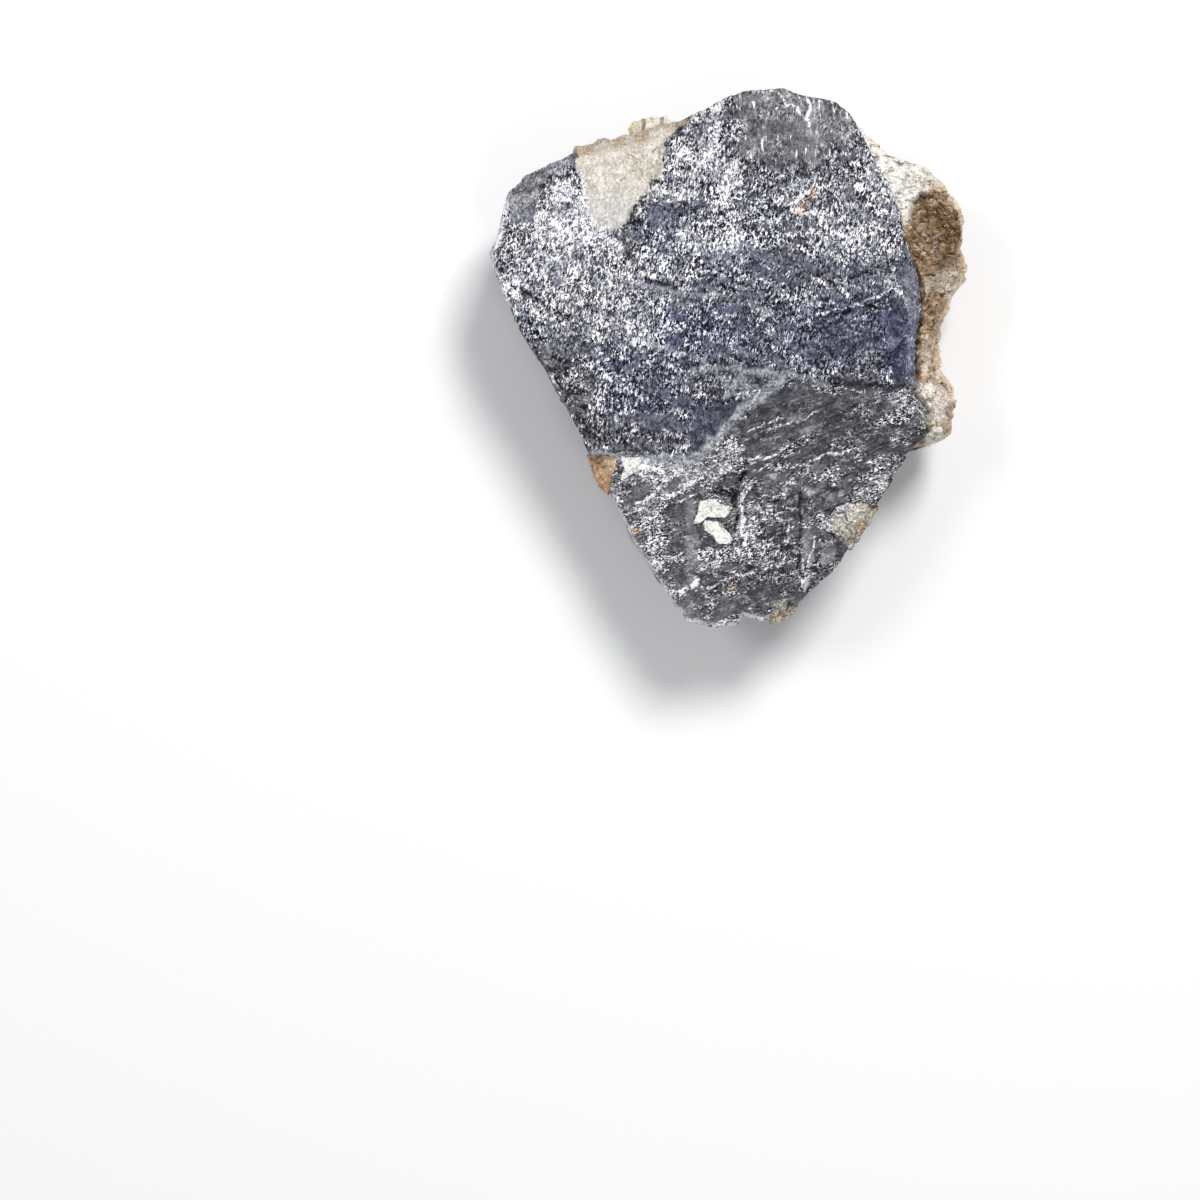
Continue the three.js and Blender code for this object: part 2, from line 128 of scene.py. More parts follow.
def rough(points, size, seed, octaves=3):
    """Noise with finer noise on it: each octave has half the size and half the height."""
    return sum(noise(points, np.array(size) / 2**k, seed + k) / 2**k for k in range(octaves))


def cells(points, size, seed):
    """The nearest of the random centres, one in each lattice cell. Returns the cell, the offset from its
    centre in cell sizes, and how much nearer that centre is than the next one."""
    scaled = points / size
    base = np.floor(scaled).astype(np.int64)
    nearest = np.full(len(points), np.inf)
    second = np.full(len(points), np.inf)
    own = np.zeros_like(base)
    offset = np.zeros_like(scaled)
    for step in itertools.product((-1, 0, 1), repeat=3):
        cell = base + step
        centre = cell + np.stack([scatter(cell, seed + k) for k in range(3)], axis=1)
        away = scaled - centre
        distance = np.sqrt((away**2).sum(axis=1))
        closer = distance < nearest
        second = np.where(closer, nearest, np.minimum(second, distance))
        nearest = np.where(closer, distance, nearest)
        own = np.where(closer[:, None], cell, own)
        offset = np.where(closer[:, None], away, offset)
    return own, offset, second - nearest


def facets(points, size, tilt, seed):
    """Tilted flats: a cell's height is a random slope, up to tilt, times the offset from its centre."""
    own, offset, _ = cells(points, size, seed)
    slope = np.stack([2 * scatter(own, seed + 11 + k) - 1 for k in range(3)], axis=1)
    return tilt * (offset * size * slope).sum(axis=1)


print("noise", noise(np.zeros((1, 3)), 1.0, 3), "cell", cells(np.zeros((1, 3)), 1.0, 3)[0])

# %% [markdown]
# ## Tools for outlines
# A mineral's patch on the face is drawn as a closed outline, and a crack as an open path. Two questions
# come up again and again: how far inside an outline is a point, and how far is it from a path?

# %% Distances to outlines and paths


def to_segment(x, y, start, end):
    """Distance from each point to the straight line between start and end."""
    ex, ey = end[0] - start[0], end[1] - start[1]
    t = np.clip(((x - start[0]) * ex + (y - start[1]) * ey) / (ex * ex + ey * ey), 0, 1)
    return np.hypot(x - start[0] - t * ex, y - start[1] - t * ey)


def to_path(x, y, path):
    """Distance from each point to the nearest stretch of an open path."""
    return np.min([to_segment(x, y, a, b) for a, b in zip(path, path[1:])], axis=0)


def bell(x, y, path, width):
    """1 on a path, falling off to both sides of it as exp(-(distance / width)²)."""
    return np.exp(-((to_path(x, y, path) / width) ** 2))


def polar(centre, distance, angle):
    """Points at that distance and angle from the centre, as x and y."""
    return centre[0] + distance * np.cos(angle), centre[1] + distance * np.sin(angle)


def inside(x, y, outline):
    """Distance to a closed outline, positive inside it. A point is inside if a line to its right crosses
    the outline an odd number of times."""
    closed = list(outline) + [outline[0]]
    crossings = np.zeros(x.shape, bool)
    for a, b in zip(closed, closed[1:]):
        if a[1] != b[1]:
            straddles = (a[1] > y) != (b[1] > y)
            crossings ^= straddles & (x < a[0] + (y - a[1]) / (b[1] - a[1]) * (b[0] - a[0]))
    return np.where(crossings, 1, -1) * to_path(x, y, closed)


def reach(outline, centre, angle):
    """The outline's row where a ray from the centre meets it last, interpolated between its points, with the
    ray's length in place of x and y."""
    dx, dy = np.cos(angle), np.sin(angle)
    length = np.zeros(angle.shape)
    rest = np.zeros(angle.shape + (outline.shape[1] - 2,))
    for a, b in zip(outline, np.roll(outline, -1, axis=0)):
        ex, ey = b[0] - a[0], b[1] - a[1]
        px, py = a[0] - centre[0], a[1] - centre[1]
        cross = dx * ey - dy * ex
        cross = np.where(np.abs(cross) < 1e-9, 1e-9, cross)
        distance = (px * ey - py * ex) / cross
        share = (px * dy - py * dx) / cross
        hit = (share >= -1e-9) & (share <= 1 + 1e-9) & (distance > length)
        length = np.where(hit, distance, length)
        rest = np.where(hit[..., None], blend(share[..., None], a[2:], b[2:]), rest)
    return length, rest


def spots(x, y, table):
    """Soft ovals laid over each other: x, y, half width, half height, turn in degrees, strength. Each one
    covers 1 - strength of what the others left open, and fades out from its middle to its edge."""
    left = np.ones(x.shape)
    for cx, cy, half_width, half_height, turn, strength in table:
        c, s = math.cos(math.radians(turn)), math.sin(math.radians(turn))
        u = (c * (x - cx) + s * (y - cy)) / half_width
        v = (c * (y - cy) - s * (x - cx)) / half_height
        left *= 1 - strength * fade(np.hypot(u, v), 0.45, 1.25)
    return 1 - left


print("face reaches", reach(CRYSTAL_OUTLINE, CENTRE, np.radians([0.0, 90.0]))[0])

# %% [markdown]
# ## Closed shells
# Most of these bodies are lozenges: an upper side, a lower side and a band between them. A grid of latitude
# and longitude would crowd its points at the middle of the face, where nothing happens. So the face is a
# square grid, with its rows and columns bowed until the square's edge is a circle, and then stretched to the
# outline. The lower side has half as many points, and one ring of triangles joins the two counts.

# %% Grids on a disc and the shell that they make


def disc(count):
    """A square grid bowed into the unit disc: x = u √(1 - v²/2), y = v √(1 - u²/2). Returns each point's
    distance from the middle and its angle."""
    u, v = np.meshgrid(np.linspace(-1, 1, count + 1), np.linspace(-1, 1, count + 1))
    x, y = u * np.sqrt(1 - v * v / 2), v * np.sqrt(1 - u * u / 2)
    return np.hypot(x, y).ravel(), np.arctan2(y, x).ravel()


def rim_of(count):
    """The numbers of the grid's edge points, once round, counter-clockwise from its lower left corner."""
    grid = np.arange((count + 1) ** 2).reshape(count + 1, count + 1)
    return np.concatenate([grid[0, :-1], grid[:-1, -1], grid[-1, :0:-1], grid[:0:-1, 0]])


def grid_faces(count):
    """The grid's squares, counter-clockwise from above."""
    grid = np.arange((count + 1) ** 2).reshape(count + 1, count + 1)
    corners = [grid[:-1, :-1], grid[:-1, 1:], grid[1:, 1:], grid[1:, :-1]]
    return np.stack(corners, axis=-1).reshape(-1, 4)


def shell_faces(count, rows):
    """Faces of a closed lozenge: the upper grid, then that many rings below its rim, then the lower grid
    with half the count. Returns its squares and its triangles."""
    rim = rim_of(count)
    upper = (count + 1) ** 2
    rings = np.vstack([rim, upper + np.arange(rows * len(rim)).reshape(rows, -1)])
    ahead = np.roll(rings, -1, axis=1)
    band = np.stack([rings[1:], ahead[1:], ahead[:-1], rings[:-1]], axis=-1).reshape(-1, 4)
    start = upper + rows * len(rim)
    lower = start + grid_faces(count // 2)[:, ::-1]
    coarse = start + rim_of(count // 2)
    coarse_ahead = np.roll(coarse, -1)
    fine, middle, fine_ahead = rings[-1, 0::2], rings[-1, 1::2], np.roll(rings[-1, 0::2], -1)
    stitch = np.concatenate([
        np.stack([coarse, middle, fine], axis=-1),
        np.stack([coarse, coarse_ahead, middle], axis=-1),
        np.stack([coarse_ahead, fine_ahead, middle], axis=-1),
    ])
    return np.vstack([grid_faces(count), band, lower]), stitch


def body(name, points, squares, triangles, slot, node, sharp=32):
    """A finished piece from points in millimetres: smooth shaded, with creases where two faces meet at more
    than the sharp angle. It rides on the stone and stands for its solid."""
    mesh = bpy.data.meshes.new(name)
    mesh.from_pydata((points * MM).tolist(), [], squares.tolist() + triangles.tolist())
    mesh.shade_smooth()
    mesh.set_sharp_from_angle(angle=math.radians(sharp))
    piece = bpy.data.objects.new(name, mesh)
    bpy.context.collection.objects.link(piece)
    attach(piece, "root")
    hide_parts(node)
    print(name, 2 * len(squares) + len(triangles), "triangles")
    return piece


def paint(piece, **layers):
    """Gives each of the mesh's points one number for every name, which a material reads by that name."""
    for name, values in layers.items():
        values = np.broadcast_to(np.clip(values, 0, 1), len(piece.data.vertices))
        layer = piece.data.attributes.new(name, "FLOAT", "POINT")
        layer.data.foreach_set("value", values.astype(np.float32))


print("a shell of 4 by 4 squares and 2 rings:", len(shell_faces(4, 2)[0]), "squares")

# %% [markdown]
# ## The minerals set into the crystal
# Feldspar grew round and in the corundum. Each body is known by its outline on the face, how far it stands
# proud, how deep it goes inside the stone and how deep at the stone's edge. The crystal needs the same table,
# because its face sinks under each of them: two minerals never fill the same space.

# %% Outlines of the set-in minerals
INLAYS = {
    "feldspar_patch": dict(proud=0.15, depth=1.4, edge_depth=6.2, outline=[
        (-3.9, 24.4), (-5.4, 23.7), (-7.9, 23.1), (-10.2, 22.5), (-13.1, 21.8), (-15.4, 21.2),
        (-15.7, 19.8), (-15.6, 18.8), (-15.1, 17.8), (-14.8, 16.6), (-15.3, 15.5), (-14.8, 14.4),
        (-14.1, 13.2), (-13.1, 12.6), (-11.7, 12.7), (-10.4, 13.8), (-9.5, 15.4), (-8.3, 16.5),
        (-7.9, 17.8), (-6.6, 18.1), (-6.6, 19.8), (-6.3, 21.6), (-5.6, 22.4), (-4.1, 23.7)]),
    "stained_grain": dict(proud=0.1, depth=2.2, edge_depth=3.4, outline=[
        (-11.4, -9.8), (-14.2, -9.6), (-13.8, -11.2), (-13.1, -12.7), (-12.2, -13.6), (-11.5, -12.2),
        (-11.2, -10.9)]),
    "pale_grain": dict(proud=0.1, depth=1.6, edge_depth=1.6, outline=[
        (-8.5, -9.9), (-10.9, -9.8), (-10.7, -11), (-10.9, -12.3), (-9.7, -11.6), (-8.8, -10.6)]),
    "inclusion_upper": dict(proud=0.25, depth=1.5, edge_depth=1.5, outline=[
        (-3, -14.2), (-3.3, -15.2), (-3.6, -16.6), (-3, -16.6), (-2.2, -16), (-0.5, -16), (0.1, -15.5),
        (0, -14.9), (-1.4, -14.1)]),
    "inclusion_lower": dict(proud=0.15, depth=1.3, edge_depth=1.3, outline=[
        (-2.6, -16.2), (-2.6, -17.2), (-1.8, -17.8), (-1.2, -18.7), (0.1, -18.6), (0.4, -18.1), (0, -17.5),
        (-1.2, -16.3)]),
    "edge_crust": dict(proud=0.3, depth=1.2, edge_depth=3.0, outline=[
        (15.1, -14.7), (13.1, -14.2), (11.9, -14.5), (10.7, -15), (9.7, -16.2), (9.5, -17.2), (10.4, -17.7),
        (11.2, -18.7), (12.2, -19.1), (13.3, -17.7), (14.3, -16.2)]),
    "toe_crust": dict(proud=0.2, depth=1.3, edge_depth=2.6, outline=[
        (7, -24.7), (5.4, -24.3), (4.4, -24.6), (3.9, -25.5), (4.3, -26.5), (5.6, -26.3), (6.4, -25.5)]),
}
print(len(INLAYS), "set-in minerals")

# %% [markdown]
# ## How the broad face broke
# The face isn't one plane. A lobe on the left and the toe broke off a little lower, and a smooth plate near
# the top was left standing. Between them the surface is frosted by thousands of tiny upright flats. The toe
# is crossed by striations that rise to the right, by a ladder of partings at right angles, and by a few open
# cracks. Each of these is a table of places and a formula for its height, so that they can be added up.

# %% Where each kind of surface lies
TERRACES = {
    "left lobe": (-0.5, 0.5, [
        (-27, 10), (-25, 22), (-12, 26), (-3.8, 24.2), (-6.6, 21.4), (-7.4, 18), (-9.6, 15.4), (-10.8, 13),
        (-10.6, 11), (-10.2, 9.4), (-13.2, 7.6), (-17.4, 7.4), (-21, 5.6)]),
    "smooth upper plate": (0.15, 0.8, [
        (-0.4, 28), (0, 25), (0.6, 24), (0.1, 23), (0.8, 22.5), (0.3, 21.8), (0.8, 21.2), (0.1, 20.3),
        (1.1, 19.8),
        (2.7, 19), (3.8, 18.3), (4.6, 19.4), (6, 19), (8.8, 18.6), (10.2, 19.6), (12.4, 20.6), (13.4, 22),
        (18, 28)]),
    "toe": (-0.6, 0.9, [
        (-16, -9.8), (-8.4, -9.8), (-4.8, -10.6), (-1, -8.6), (0.9, -5.7), (3.1, -3), (5.4, -2.2), (14, -3),
        (24, -3.4), (22, -30), (-12, -30)]),
}
FROST = [
    (-19, 10.8, 5.5, 5.8, 0, 0.75), (-17.4, 15.8, 2.2, 3, 25, 0.95), (-18, 10.8, 2.4, 2.4, 40, 0.8),
    (-11.2, 11.4, 1.9, 2.2, 0, 1), (-6.4, 15.9, 2.6, 1.3, -10, 0.95), (-4.8, 23.4, 1.4, 1.6, 30, 0.9),
    (-13.2, 13.8, 3.2, 2.8, 0, 0.95), (-17, 4.8, 5.5, 4.5, -20, 0.6), (-21.6, 5.4, 1, 3.6, 15, 0.8),
    (-1.5, 23.4, 1.3, 3.6, -8, 0.95), (-0.9, 18.2, 2.7, 3.4, 10, 1), (-4.8, 18.6, 2.4, 3.6, 0, 0.85),
    (0, 12.4, 6.4, 2.6, 0, 0.66), (-1.8, 11.2, 4.4, 1.7, 0, 0.85), (-7.3, 10, 2.2, 2.6, 0, 0.65),
    (12.5, 12.3, 5.6, 3.3, 5, 0.85), (15.3, 17, 2.4, 4.8, 24, 0.95), (-9.8, 3.8, 5.8, 4.2, 0, 0.62),
    (-13, 6.8, 6, 3.5, 0, 0.5), (-18, 18, 3.6, 2.8, 20, 0.5), (1.2, 23.1, 1.1, 1.7, 0, 0.8),
    (-7.6, -11.2, 2.6, 1.3, 28, 1), (-8.3, -18.3, 2, 5, 32, 0.7), (14.6, -12.6, 2.6, 2, 30, 0.8),
    (18.4, -5.6, 1.6, 3, 0, 0.6), (16.1, 7.7, 0.8, 1, 0, 1), (14.8, -7, 3.4, 1.2, 19, 0.45),
    (-14.6, 12.4, 1.8, 1.8, 0, 1), (-3.6, -11.6, 3.6, 1.5, 12, 1), (-6.6, -13, 2, 1.8, 30, 0.8),
    (-0.6, -9.8, 2.2, 1.2, 40, 0.9), (1.6, -16.4, 1.4, 3, 0, 0.9), (-11, 12.8, 2.2, 1.6, 30, 1),
    (7.4, 4, 2, 2.4, 0, 0.75), (-14.9, 10.2, 2, 1.6, 0, 0.95), (-10.6, 7.6, 1.8, 1.5, 0, 0.8),
    (-20.6, 7.6, 1.6, 1.6, 0, 0.85), (-16.6, 16.8, 1.8, 1.6, 0, 0.8), (-4.4, 7.6, 2, 1.2, 0, 0.5),
    (7, 17.8, 2.6, 1.4, 0, 0.9), (-5.6, 12.6, 2.4, 2.2, 0, 0.5), (-12, -3.8, 2.6, 2.4, 0, 0.55),
    (-7.4, -14.6, 1.6, 1.3, 0, 0.85), (-16.4, 13.4, 2.8, 2.2, 20, 1), (11.6, 24, 1.8, 3, 20, 0.6),
    (4.8, 24.8, 2.6, 2, 0, 0.55), (-20.8, 15.6, 2, 1.8, 0, 0.5), (-8, 15.4, 1.4, 1.6, 0, 0.6),
    (-19.6, 9.6, 2, 1.6, 0, 0.6), (-11.4, -12.8, 2, 1.6, 0, 0.85), (-4.6, 18.4, 1.4, 3.4, 0, 0.6),
    (-10, 0.8, 2.2, 1.6, 0, 0.6), (-8, 2.8, 1.8, 1.6, 0, 0.55), (7, 17.4, 1.6, 0.8, 0, 0.8),
    (9.4, 22.6, 0.5, 0.9, 0, 0.8), (3.2, 20.8, 1, 0.8, 30, 0.7), (-2.4, 21.6, 0.8, 5, -14, 1),
    (7.6, 15.6, 2, 2.4, 20, 0.6), (-1.6, -19.8, 2.4, 1.6, 20, 0.6), (5.4, -12.6, 1.2, 0.8, 0, 0.5),
    (2.6, -19.6, 1.8, 1.2, 0, 0.6), (8.8, -15.4, 1.6, 1.2, 0, 0.5), (-8.4, -15.6, 2, 1.2, 25, 0.6),
    (-2, -13.4, 1.2, 0.7, 20, 0.6), (0.9, 7.6, 3, 0.8, -10, 0.5),
]
BLUE = [
    (-19.6, 3.3, 1.3, 1.6, 0, 0.9), (-12, -0.4, 2.6, 1.8, 0, 0.6), (-9, -3.2, 6.5, 4.5, 10, 0.7),
    (-2.6, -6, 3, 3.2, 0, 0.6), (-3, 2.3, 7.5, 3.4, 0, 0.95), (10, 2.8, 8.5, 5, 0, 0.8),
    (16.5, 0.9, 2.8, 6.2, 0, 1), (1, 8.4, 8, 3.4, 0, 0.6), (-7.2, 11.6, 2.6, 4.4, 0, 0.65),
    (0, 13.6, 9, 4, 0, 0.5), (-20, 9, 4, 4, 0, 0.45), (12, 10, 5, 4, 0, 0.45),
]
DEEP = [
    (11.4, 2.2, 6.6, 4.4, 0, 0.75), (15.2, 2.2, 2.4, 5, 0, 0.9), (5.6, -5.4, 5.4, 2.8, 10, 1),
    (9.5, 10.2, 2.4, 1.6, 0, 0.75), (14.6, 12.6, 1.4, 1.8, 0, 0.7), (5.6, 10.2, 3.4, 1.8, 0, 0.5),
    (-2.6, 17.2, 1.6, 1.2, 0, 0.5), (-21, 11.6, 1.4, 2.4, 0, 0.45), (0.6, 12.6, 2.2, 1, 0, 0.4),
    (-0.6, -0.6, 3.2, 3.6, 0, 0.5), (14, -3, 4, 2, 0, 0.5), (-0.6, -6.6, 3.4, 2.4, 0, 0.6),
    (2.2, 7.9, 2.4, 1.4, 0, 0.6), (-1.6, 12.8, 2.4, 1.2, 0, 0.5), (8.8, 12.8, 1.6, 1, 0, 0.5),
    (-11.4, 5.2, 3, 1, 0, 0.4), (-2.4, 1, 3.2, 2.4, 0, 0.45), (-5.6, -8, 2.4, 2, 0, 0.5),
    (4, -19.6, 2.6, 2.6, 0, 0.5), (14.4, 4, 2.2, 3, 0, 0.5), (-1.6, -4.6, 3.6, 2.4, 0, 0.6),
    (2.6, 2.2, 4.4, 3.6, 0, 0.45), (-16.6, 0.8, 2, 1.4, -30, 0.5), (5.6, 19, 3, 1.4, 0, 0.6),
    (-9, -2.2, 5.5, 4.4, 0, 0.45), (-11, -8.8, 4.5, 1.2, 0, 0.6), (-19.6, 3.2, 1, 1.3, 0, 0.9),
    (-6.9, 13.2, 1.2, 2.8, -15, 0.7), (4.3, -22.6, 3.4, 1.7, 0, 0.8), (-0.6, -24.6, 1.2, 1.4, 0, 0.7),
    (12.6, -8.2, 6.5, 3.4, 10, 0.5), (12, -13, 2.2, 1.8, 0, 0.6), (-0.2, -12.6, 1.6, 0.8, 0, 0.8),
    (-14.4, -6.4, 1.6, 2.6, 30, 0.6), (-3.2, 19.2, 0.9, 2.4, 0, 0.5),
]
# Calm, milky stone with hardly any flats
HAZE = [
    (-6.4, 6.6, 4.6, 0.8, -12, 0.8), (2.6, -1.8, 2.8, 2, 0, 0.7), (-12.4, 7.2, 2.6, 0.9, -22, 0.6),
    (14.2, 8.3, 3.2, 1, 12, 0.7), (-9, 4.6, 1.8, 1.3, 30, 0.6), (-18.6, 18.2, 2.6, 0.9, 25, 0.5),
    (12.4, 5.2, 3.6, 0.7, 14, 0.7), (5.6, -5.4, 4.6, 0.8, 19, 0.7), (10.8, -4.4, 4, 0.9, 12, 0.6),
    (-0.4, 9.6, 5, 0.7, -14, 0.6), (-7.4, 15.4, 0.5, 1.4, 35, 0.7), (8.2, 14.8, 1.4, 2.2, 15, 0.5),
    (11, 1.4, 5.5, 2.8, 0, 0.55), (-9.6, -7, 3, 1.2, 15, 0.6), (0.6, 4.4, 2.4, 0.6, -20, 0.6),
    (-6.8, -5, 2.2, 0.8, 10, 0.5), (-14.2, 3.4, 1.5, 0.8, 35, 0.6), (12.6, 15.4, 0.9, 1.6, 20, 0.6),
]
COARSE = [
    (-15.8, -4.4, 2.4, 6.4, 30, 0.95), (-20, 17, 3.4, 2.4, 30, 0.9), (-9, -19, 2, 5, 32, 0.5),
]
LADDER = [
    (4.4, -17, 3.4, 4.4, 0, 1), (-1.2, -21, 2.6, 2.4, 0, 0.5), (-5.6, -16.4, 1.6, 1.8, 0, 0.5),
]
STAIN = [
    (6.8, 14.5, 0.5, 0.4, 0, 1), (8.3, 16.3, 0.8, 0.6, 30, 0.7), (7.4, 15.3, 0.9, 0.5, 40, 0.6),
    (-9.45, -17.2, 0.55, 0.5, 0, 1), (0.2, -22.9, 0.6, 0.35, 20, 0.8), (-15.4, -7.6, 0.5, 0.4, 0, 0.7),
    (12, 25, 0.8, 0.5, 0, 0.7), (-13.4, 12.7, 0.4, 0.35, 0, 0.7), (-1.4, -17.6, 0.4, 0.3, 0, 0.6),
]
# Clean flats: lightness from 0 to 1, the painted light that each flat mirrors, outline
FLATS = [
    (0.5, [(-22.2, 16.3), (-21.3, 18), (-18.5, 19.3), (-15.4, 20.9), (-15.4, 19.6), (-17.8, 18.3),
           (-19, 17.2), (-19.1, 15.3), (-19.6, 13.3), (-22, 13.4)]),
    (0.5, [(-18.2, 7.7), (-17.2, 8.7), (-16.3, 7.7), (-17.3, 6.8)]),
    (0.42, [(-8.4, 15.4), (-6.4, 15.3), (-6.6, 13.2), (-8, 12.9)]),
    (0.24, [(16.1, 5.8), (17.3, 6.2), (17.7, 3.8), (17.5, -2.7), (16.7, -3.4), (16, -0.2), (15.5, 2.3)]),
    (0.46, [(17.4, 9.6), (19.2, 9), (19.2, 5.8), (18.8, 1.3), (19.2, -2.2), (18, -3.4), (17.6, -0.2),
            (17.7, 3.8), (17.3, 6.8)]),
    (0.26, [(-4, -9.9), (-4.2, -6.7), (-2.5, -5.2), (0.8, -4.3), (0.6, -5.4), (-0.2, -6.7), (-1.4, -8),
            (-2.8, -9.2)]),
    (0.22, [(2.4, -4.4), (3.2, -3), (8.5, -3), (9, -4), (7, -5), (5, -5.8), (2.8, -6.2), (2, -5.4)]),
    (0.33, [(0.6, -9.8), (1.5, -8.8), (2.7, -8.3), (4.4, -8.3), (3.8, -9.5), (2.2, -10)]),
    (0.26, [(4.6, -7.2), (8, -6), (11, -5.9), (9, -7.4), (6, -8.2)]),
    (0.5, [(3, -12.1), (3.4, -11.5), (4.2, -11.3), (5.1, -11.6), (4.9, -12.2), (3.8, -12.6)]),
    (0.6, [(7.2, -12.9), (9, -12.4), (9.9, -12), (9.8, -12.8), (9, -13.6), (7.8, -14.1)]),
    (0.42, [(7.3, -17.4), (8.2, -16.9), (9.1, -17.5), (9, -19), (8.2, -20.5), (7.3, -20.2)]),
    (0.56, [(9.2, -18.4), (10.2, -18.2), (11, -19), (10.3, -20.6), (9.2, -20.8)]),
    (0.7, [(7.3, -22), (7.9, -21.7), (8.1, -22.7), (7.6, -23.4), (7.2, -22.8)]),
    (0.35, [(7.7, -10.9), (9.6, -10.1), (10.2, -10.5), (8.8, -11.7)]),
    (0.46, [(-5.2, -24.2), (-4, -23.6), (-3.5, -24.2), (-3.7, -25.8), (-4.6, -26.2)]),
    (0.33, [(-1, -23.6), (-0.1, -23.7), (-0.2, -25.8), (-1.1, -25.8)]),
    (0.47, [(-4.4, -14), (-3.3, -14.2), (-3, -18.2), (-3.2, -22.2), (-4.3, -22.6), (-4.5, -18.2)]),
    (0.5, [(-10.1, -12.6), (-8.5, -12.2), (-7.5, -12.4), (-8, -13.6), (-9.2, -14.2), (-10.1, -13.9)]),
    (0.48, [(-6.7, -13.4), (-6.2, -12.2), (-5.2, -11.6), (-4.3, -11.8), (-5, -12.8), (-6, -13.7)]),
    (0.32, [(-6.5, -15.2), (-5.2, -14.5), (-4.3, -14.5), (-4.3, -16.2), (-5.8, -16.6)]),
    (0.27, [(-1.5, -12.4), (0.8, -11.6), (1, -12.4), (-0.2, -13), (-1.4, -13)]),
]
# Pale healed cracks: half width, strength, path
VEINS = [
    (0.7, 0.8, [(-13.8, -9.6), (-9, -10.2), (-5, -10.4), (-3, -9.7), (-1.5, -8.2), (0, -6.7), (1.5, -4.7),
                (3, -3.7), (5, -2.4)]),
    (0.4, 0.6, [(-4, -1.2), (0.4, -1), (3.6, -1.4), (7.4, -2), (9.9, -2.7)]),
    (0.35, 0.4, [(1, -3.7), (-3, -0.2), (-9, 1.8)]),
    (0.3, 0.35, [(-10, 7.6), (-5.4, 6.4), (-1, 6.2), (4, 4.6)]),
    (0.5, 0.5, [(2.4, -4.6), (1, -1.8), (-0.4, -3.8)]),
]
# Thin ridges, raised a little and painted bright as highlights along them: half width, path
RIDGES = [
    (0.14, [(4.75, -9.4), (6.2, -8.8), (7.4, -8.35), (8.4, -8.1)]),
    (0.16, [(0.5, -10.4), (2, -10.1), (3.8, -10), (4.75, -9.4)]),
    (0.15, [(6.2, -10.9), (7.2, -10.8), (8.3, -10.3), (9.4, -9.7), (10.8, -9.55), (12, -9.3), (12.3, -8.9)]),
    (0.14, [(2.2, -11.2), (3.9, -11.1), (5.1, -11), (6.2, -10.5)]),
    (0.13, [(6, -11.9), (6.8, -13), (7.6, -13.2)]), (0.13, [(5.4, -12.7), (6.4, -12)]),
    (0.13, [(2.5, -16.4), (4.2, -16.2)]), (0.13, [(3.3, -18.4), (5.1, -17.9)]),
    (0.12, [(4.5, -19.8), (5.8, -19.4)]),
    (0.18, [(1.3, -21.9), (2.5, -21.2), (4.2, -20.85), (6, -20.5), (6.6, -20.2)]),
    (0.26, [(-6.2, -24), (-4.6, -23.2), (-3, -22.3)]), (0.15, [(-3.5, -23.2), (-2, -22.9), (-1.1, -22.5)]),
    (0.16, [(10.1, -11.1), (10.35, -12.9)]), (0.12, [(8.7, -17.7), (8.4, -19), (7.8, -20.4)]),
    (0.15, [(7.2, -20.1), (7.4, -21.7), (7.1, -23)]), (0.12, [(7.8, -20.7), (8.9, -20.5)]),
    (0.32, [(2, -12.1), (1.6, -13.2), (1.2, -14.1)]), (0.3, [(1.3, -14.9), (1.35, -17), (1.5, -18.6)]),
    (0.22, [(-9.45, -14.7), (-7.75, -13.9), (-6.5, -12.4), (-5.4, -11.5)]),
    (0.15, [(-10.4, -15.4), (-8.1, -15.1)]), (0.2, [(-4.1, -12.65), (-2.9, -11.8)]),
    (0.18, [(-6.5, -13.9), (-5.1, -13.3), (-3.8, -12.4)]),
    (0.14, [(-6.5, -14.7), (-5.25, -14.3), (-3.1, -13.7)]),
    (0.14, [(-1.6, -12.3), (-0.9, -11.8), (-0.2, -11.4), (1, -11.5), (1.4, -11)]),
    (0.3, [(-9.9, -10.4), (-8, -11.2), (-6.6, -11.3)]), (0.2, [(-9.6, -11.4), (-8.6, -11.6)]),
    (0.12, [(1.7, -7.3), (4.2, -6.2), (5.4, -5.95)]), (0.12, [(3.3, -7.4), (6.6, -6.4), (8.6, -5.4)]),
    (0.15, [(1.6, -4.8), (2.45, -4.3), (3, -3)]), (0.14, [(0.4, -3.75), (2.6, -3.2)]),
    (0.12, [(10.8, -3), (13.5, -3.3)]), (0.13, [(8.8, 4.4), (13.5, 5.5), (16.5, 7)]),
    (0.15, [(3.9, 26.7), (4.9, 26.3), (5.55, 25.4), (6.6, 25), (7.1, 24)]),
    (0.12, [(10.1, 25.9), (10.3, 24.3)]), (0.2, [(7.8, 25.9), (7.9, 24.8), (7.55, 24), (7.75, 23)]),
    (0.4, [(4.8, 15.6), (6.2, 14.6), (8.4, 14.4)]), (0.3, [(-23.9, 10.6), (-22.8, 12.6), (-22.4, 15.4)]),
]
